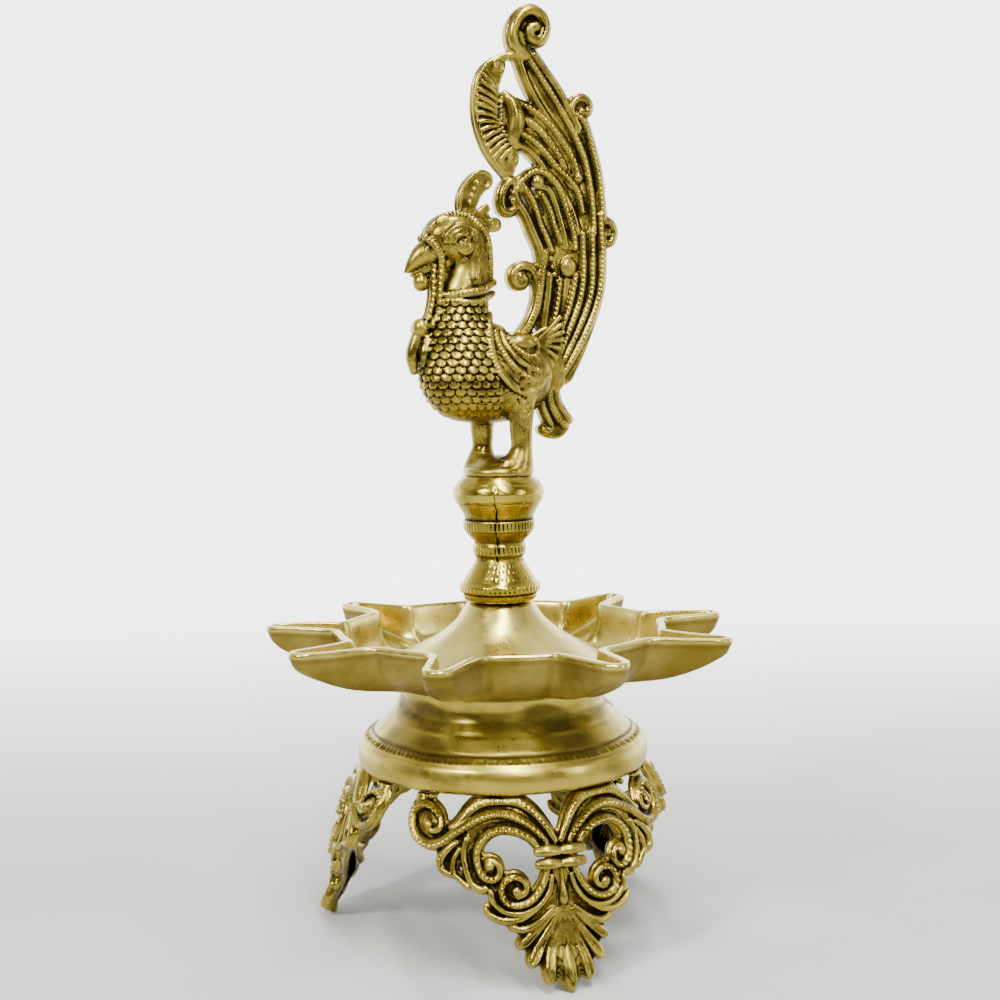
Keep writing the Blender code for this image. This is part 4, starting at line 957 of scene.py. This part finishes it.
COLUMN_PROFILE = [(11.9, 158.3), (13.2, 157.1), (14.5, 155.7), (15.5, 154.2), (15.9, 152.4), (15.4, 150.0),
                  (14.4, 148.4), (12.6, 145.4), (11.8, 143.6), (12.4, 142.8), (12.4, 139.6), (10.6, 137.4),
                  (8.5, 135.2), (9.2, 134.2), (9.2, 131.2), (8.0, 129.8), (9.2, 127.6), (12.9, 121.6),
                  (14.0, 120.6), (14.0, 118.3), (12.8, 117.6), (12.7, 116.2), (11.6, 115.0), (BORE_R, 115.0),
                  (BORE_R, 158.3)]


def column_relief(degrees, radius, z):
    """Chased lines, three fluted bands, punched dots on the cone and the mould's seam down the front."""
    outer = np.clip((radius - 7.5) / 0.5, 0, 1)
    turn = np.radians(degrees)
    wave = 0.25 * np.sin(3 * turn + 0.6) + 0.15 * np.sin(7 * turn)
    lift = -0.22 * line(z, 155.6 + wave, 0.24) * (np.sin(2 * turn + 1.0) + 0.3 * np.sin(9 * turn) > -0.6)
    lift = lift - 0.26 * line(z, 149.0 + 0.6 * wave, 0.24)
    lift = lift - 0.10 * band(z, 149.8, 154.6) * (0.5 + 0.5 * np.sin(70 * turn + 9 * z)
                                                  * np.sin(52 * turn - 8 * z))
    lift = lift - 0.30 * line(z, 143.3, 0.24) - 0.30 * line(z, 139.1, 0.24)
    uneven = 0.65 + 0.25 * np.sin(2 * turn + 0.4) + 0.2 * np.sin(7 * turn + 2.0)
    lift = lift - 0.40 * uneven * band(z, 140.0, 142.4) * np.clip(0.45 + 0.8 * np.cos(54 * turn), 0, 1)
    lift = lift - 0.38 * uneven * band(z, 131.8, 133.8) * np.clip(0.35 + 0.8 * np.cos(38 * turn), 0, 1)
    lift = lift - 0.36 * uneven * band(z, 118.9, 120.2) * np.clip(0.35 + 0.8 * np.cos(52 * turn), 0, 1)
    lift = lift - 0.25 * line(z, 117.7, 0.25)
    for number, height in enumerate((127.3, 125.6, 123.2)):
        spots = np.clip(np.cos((36 + 3 * number) * turn + 1.7 * number) - 0.6, 0, 1) / 0.4
        lift = lift - 0.34 * uneven * line(z, height + 0.2 * np.sin(5 * turn + number), 0.3) * spots
    seam = (degrees + 184.5 + 1.1 * np.sin(0.55 * z) + 0.6 * np.sin(1.7 * z)) % 360.0 - 180.0
    lift = lift - 0.30 * np.exp(-(seam * radius / 57.3 / 0.3) ** 2) * band(z, 129.0, 155.0)
    return lift * outer * (z > 115.4)


PEDESTAL_PROFILE = [(35.5, 87.7), (35.4, 82.5), (36.3, 79.7), (39.0, 76.8), (41.6, 74.0), (44.5, 71.3),
                    (46.2, 70.2), (47.4, 69.6), (48.9, 68.2), (50.0, 65.8), (50.4, 63.0), (50.2, 60.2),
                    (49.2, 59.0), (39.5, 59.0), (39.5, 67.0), (37.6, 73.5), (33.0, 77.6), (32.4, 84.7),
                    (BORE_R, 84.7), (BORE_R, 87.7)]


def pedestal_relief(degrees, radius, z):
    """A milled line round the shoulder, and the slight waviness of a hand-dressed wall."""
    turn = np.radians(degrees)
    outer = np.clip((radius - 34.5) / 0.6, 0, 1) * (z > 59.4) * np.clip(
        (radius - 39.9) / 0.4 + 20 * (z > 76.6), 0, 1)
    mill_line = line(z, 69.6, 0.75) * np.clip(
        0.45 + 0.8 * np.cos(140 * turn) * np.cos(2.2 * (z - 69.6)), 0, 1)
    lift = -0.62 * mill_line - 0.45 * line(z, 71.0, 0.3) - 0.35 * line(z, 68.2, 0.3)
    lift = lift + 0.16 * np.sin(5 * turn + 0.9 + 0.1 * z) + 0.10 * np.sin(11 * turn + 0.23 * z)
    lift = lift - 0.12 * line(z, 80.2 + 0.5 * np.sin(3 * turn), 0.7)
    return lift * outer


SPOUTS = 9
SPOUT_PHASE = -14.0  # degrees from -Y towards +X
SPOUT_ROOT_R = 57.0
SPOUT_TIP_CENTRE = 77.5
PLATE_CONE = [(BORE_R, 114.7), (11.2, 114.7), (13.0, 111.8), (14.8, 109.0), (17.6, 106.2), (21.4, 103.2),
              (27.7, 99.6), (36.0, 95.7), (44.0, 92.6)]
PLATE_UNDER = [(40.0, 88.2), (33.0, 88.0), (30.0, 88.0), (28.4, 94.4), (20.6, 100.0), (14.6, 104.6),
               (9.6, 110.8), (BORE_R, 111.2)]


def spout_edge(turn, inset):
    """How far the plate's edge is from the axis at an angle from a spout's middle: the round tip, then the
    tapering side, then the rim between two spouts."""
    turn = abs(turn)
    root_half, tip_half, between = 8.0 - inset, 5.0 - inset, SPOUT_ROOT_R - inset
    slope = math.tan(turn)
    if slope < 1e-9:
        return SPOUT_TIP_CENTRE + tip_half
    across = math.sin(turn) * SPOUT_TIP_CENTRE
    if slope * SPOUT_TIP_CENTRE <= tip_half:
        return math.cos(turn) * SPOUT_TIP_CENTRE + math.sqrt(max(tip_half ** 2 - across ** 2, 0.0))
    taper = (tip_half - root_half) / (SPOUT_TIP_CENTRE - SPOUT_ROOT_R)
    along = (root_half - taper * SPOUT_ROOT_R) / (slope - taper)
    side = along / math.cos(turn)
    return 0.5 * (side + between + math.hypot(side - between, 6.5)) - 0.3


def plate_section(degrees, count):
    """The closed section of the plate at an angle from a spout's middle, count points to every stretch."""
    turn = math.radians(degrees)
    inner, outer = spout_edge(turn, 2.5), spout_edge(turn, 0.0)
    reach = min(max((inner - 54.5) / 25.5, 0.0), 1.0)
    fold = 1.5 * math.exp(-((abs(degrees) - 8.6) / 1.5) ** 2)
    low = 91.2
    rise = low + 11.0 * reach
    rows = [(44.0 + 0.42 * (inner - 44.0), low + 3.2 * reach + 0.6 * fold),
            (44.0 + 0.84 * (inner - 44.0), low + (rise - low) * 0.72 + 3.0 * (1 - reach) + fold),
            (inner - 0.7, rise + 1.8 + 10.6 * (1 - reach)), (inner - 0.1, 105.6), (inner + 0.5, 106.2),
            (outer - 0.9, 106.2), (outer - 0.1, 105.7), (outer + 0.1, 104.6), (outer - 0.5, 103.7),
            (outer - 0.9, 102.6), (outer - 2.3, 99.6 - 3.2 * (1 - reach)),
            (40.0 + 0.55 * (outer - 40.0), 90.7 + 1.4 * reach)]
    outline = np.array(PLATE_CONE + rows + PLATE_UNDER)
    t = np.arange(count) / count
    dense = np.vstack([a + (b - a) * t[:, None] for a, b in zip(outline, np.roll(outline, -1, 0))])
    for _ in range(5):
        dense = 0.25 * np.roll(dense, 1, 0) + 0.5 * dense + 0.25 * np.roll(dense, -1, 0)
    return dense


def facing_up(section):
    """1 where a closed (radius, z) outline faces up and 0 where it faces down, from the z part of its outward
    normal, whose sign comes from the outline's signed area."""
    ahead = np.roll(section, -1, 0) - np.roll(section, 1, 0)
    r, z = section.T
    turning = np.sign(np.sum(r * np.roll(z, -1) - np.roll(r, -1) * z))
    return np.clip((0.15 - turning * ahead[:, 0] / (np.hypot(*ahead.T) + 1e-9)) / 0.3, 0, 1)


def build_plate(finish):
    """Sections round the axis, close together where a spout's side runs nearly straight at the axis."""
    half = np.concatenate([np.linspace(0.0, 3.3, 6)[:-1], np.linspace(3.3, 9.6, 23)[:-1],
                           np.linspace(9.6, 20.0, 11)])
    one = np.concatenate([-half[::-1][:-1], half])[:-1]
    sections = [plate_section(degrees, 5) for degrees in one]
    points, groove = [], []
    for spout in range(SPOUTS):
        for degrees, section in zip(one, sections):
            points.append(polar(section[:, 0], SPOUT_PHASE + 360.0 / SPOUTS * spout + degrees, section[:, 1]))
            # Painted light: the rim's top gets a painted highlight and the wall under its outer lip painted
            # shade.
            rim = np.exp(-((section[:, 1] - 105.6) / 1.0) ** 2) * (section[:, 0] > 50)
            rim = rim - 0.5 * np.exp(-((section[:, 1] - 103.4) / 0.5) ** 2) * (
                section[:, 0] > spout_edge(math.radians(degrees), 0.0) - 1.4)
            # The folds beside each spout are made a touch darker.
            fold = 0.05 * math.exp(-((abs(degrees) - 10.4) / 0.9) ** 2) * (
                (section[:, 0] > 46) & (section[:, 1] > 92))
            # Painted light: brighter where the plate faces up and darker, as painted shade, where it faces
            # down.
            inside = facing_up(section)
            groove.append(0.5 - 0.16 * rim + fold - 0.15 * inside + 0.12 * (1 - inside))
    points = np.vstack(points)
    cone_foot = np.hypot(points[:, 0], points[:, 1])
    points[:, 2] += 0.14 * np.sin(
        np.arctan2(points[:, 0], points[:, 1]) * 3 + cone_foot / 6) * (cone_foot > 14)
    faces = ring_faces(SPOUTS * len(one), len(sections[0]), True)
    make_piece("oil_plate_cast", points, faces, np.concatenate(groove), finish, "plate", "oil_plate")


def dress_fixings(rod, washer, nut):
    """The tie rod, washer, nut and screws keep their CAD shapes and get their metals."""
    for name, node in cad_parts.items():
        finish = {"tie_rod": rod, "tie_washer": washer, "tie_nut": nut}.get(name)
        if name.startswith("leg_screw"):
            finish = washer
        if finish:
            for place in range(max(1, len(node.material_slots))):
                if not node.material_slots:
                    node.data.materials.append(finish)
                node.material_slots[place].material = finish


# --------------------------------------------------------------------- scene

def add_camera():
    """A 54 mm lens level with the bird's breast, half a metre in front, tipped five degrees down."""
    yaw, pitch, roll = 0.0009, 0.0866, -0.0157
    ahead = np.array([math.sin(yaw) * math.cos(pitch), math.cos(yaw) * math.cos(pitch), -math.sin(pitch)])
    right = np.array([math.cos(yaw), -math.sin(yaw), 0.0])
    up = np.cross(right, ahead)
    side = math.cos(roll) * right + math.sin(roll) * up
    top = math.cos(roll) * up - math.sin(roll) * right
    data = bpy.data.cameras.new("camera")
    data.lens = 54.33
    data.sensor_width = 36.0
    data.clip_start = 0.01
    camera = bpy.data.objects.new("camera", data)
    bpy.context.scene.collection.objects.link(camera)
    camera.matrix_world = Matrix(((side[0], top[0], -ahead[0], 0.0), (side[1], top[1], -ahead[1], -0.51937),
                                  (side[2], top[2], -ahead[2], 0.19466), (0.0, 0.0, 0.0, 1.0)))
    bpy.context.scene.camera = camera


def add_light(name, place, target, size, watts, colour=(1.0, 1.0, 1.0)):
    """A rectangular light at a place, facing a target: size is across and up, and across stays level."""
    data = bpy.data.lights.new(name, "AREA")
    data.shape = "RECTANGLE"
    data.size, data.size_y = size
    data.energy = watts
    data.color = colour
    light = bpy.data.objects.new(name, data)
    bpy.context.scene.collection.objects.link(light)
    light.location = place
    back = (np.array(place) - np.array(target)) / np.linalg.norm(np.array(place) - np.array(target))
    side = np.cross((0, 0, 1), back)
    side = side / np.linalg.norm(side) if np.linalg.norm(side) > 1e-6 else np.array((1.0, 0, 0))
    up = np.cross(back, side)
    light.rotation_euler = Matrix(np.stack([side, up, back], 1).tolist()).to_euler()


def add_stage():
    """A pale floor that curves up behind and glows softly there, and a pale sky."""
    points = []
    for y in np.linspace(-6.0, 2.6, 44):
        points += [(x, y, 0.9 * max(0.0, y - 1.3) ** 2) for x in (-6.0, 6.0)]
    faces = [(2 * i, 2 * i + 1, 2 * i + 3, 2 * i + 2) for i in range(len(points) // 2 - 1)]
    mesh = bpy.data.meshes.new("floor")
    mesh.from_pydata(points, [], faces)
    mesh.shade_smooth()
    n = Nodes("paper_floor")
    n.put(n.shader, "Base Color", n.mix(n.noise(60.0), linear("#B2B2B0"), linear("#B9B9B7")))
    n.shader.inputs["Roughness"].default_value = 0.9
    where = n.add("ShaderNodeTexCoord").outputs["Object"]
    depth = n.add("ShaderNodeSeparateXYZ", Vector=where).outputs["Y"]
    n.put(n.shader, "Emission Color", (1.0, 1.0, 1.0, 1.0))
    n.put(n.shader, "Emission Strength", n.ramp(depth, 0.0, 0.9, 0.0, 4.0))
    mesh.materials.append(n.material)
    floor = bpy.data.objects.new("floor", mesh)
    bpy.context.scene.collection.objects.link(floor)
    world = bpy.data.worlds.new("studio")
    world.use_nodes = True
    tree = world.node_tree
    way = tree.nodes.new("ShaderNodeTexCoord").outputs["Generated"]
    split = tree.nodes.new("ShaderNodeSeparateXYZ")
    tree.links.new(way, split.inputs[0])
    wash = tree.nodes.new("ShaderNodeMapRange")
    wash.interpolation_type = "SMOOTHSTEP"
    for key, value in (("From Min", -0.5), ("From Max", 0.6), ("To Min", 0.14), ("To Max", 1.6)):
        wash.inputs[key].default_value = value
    tree.links.new(split.outputs["Y"], wash.inputs["Value"])
    tree.links.new(wash.outputs[0], tree.nodes["Background"].inputs[1])
    tree.nodes["Background"].inputs[0].default_value = (1.0, 1.0, 1.0, 1.0)
    bpy.context.scene.world = world
    add_light("key", (-0.75, -0.9, 0.95), (0, 0, 0.15), (0.21, 0.19), 20.0, (1.0, 0.99, 0.93))
    add_light("fill", (1.1, -0.6, 0.5), (0, 0, 0.15), (0.14, 0.6), 5.0, (0.97, 0.98, 1.0))
    add_light("strip", (0.3, -1.0, 0.75), (0, 0, 0.12), (0.06, 0.34), 5.0)
    add_light("overhead", (0.10, -0.42, 1.05), (0, 0, 0.12), (0.08, 0.9), 22.0, (1.0, 1.0, 0.97))


# Voxel size of each casting, in mm, and how much darker the bell's rim is made below the milled line.
LEG_CELL = 0.42
TAIL_CELL = 0.435
BIRD_CELL = 0.41
RIM_DIMMER = 0.09
RIM_DIMMER_BELOW = 65.5

# Cast and patinated, only its high points rubbed bright.
antique = brass("antiqued_cast_brass", "#A8953E", "#6A5B22", "#181205", 0.27, 1.0, 0.5)
# Turned on a lathe and buffed on a wheel: a soft satin.
buffed = satin("buffed_brass", "#BAA648", "#8C7D30", "#2E220A", 0.31, 0.5, 0.7, 0.5)
# The same buffed brass with painted light on the plate: brighter on its upward faces, painted shade on its
# downward ones.
plate_brass_with_painted_light = satin("plate_brass_painted_light", "#CFBD64", "#9A8838", "#5A4710", 0.29, 0.5, 0.2, 0.75)
# Turned, chased by hand and polished to the tightest shine here, with dark polish left in the chasing.
column_brass = satin("chased_column_brass", "#BEAA44", "#8E7D2C", "#181005", 0.22, 0.6, 1.0)
# Plated washer and screws, and a plain drawn rod: grey and faintly scratched.
plating = steel("zinc_plated_steel", "#B9BBBD", "#8A8C8F", 0.34)
rod_steel = steel("drawn_steel_rod", "#A6A8AA", "#74767A", 0.40)
# Machined from bar: the brightest and yellowest brass.
nut_brass = satin("machined_nut_brass", "#D2B85A", "#B0923C", "#4A3814", 0.25, 0.25, 0.5)

build_legs(antique, LEG_CELL)
build_tail(antique, TAIL_CELL)
build_bird(antique, BIRD_CELL)
turned("column_turned", COLUMN_PROFILE, 288, 0.42, 1, column_relief, column_brass, "column", "column")
turned("pedestal_turned", PEDESTAL_PROFILE, 360, 0.8, 2, pedestal_relief, buffed, "base", "pedestal_bell",
       RIM_DIMMER, RIM_DIMMER_BELOW)
build_plate(plate_brass_with_painted_light)
dress_fixings(rod_steel, plating, nut_brass)
add_camera()
add_stage()
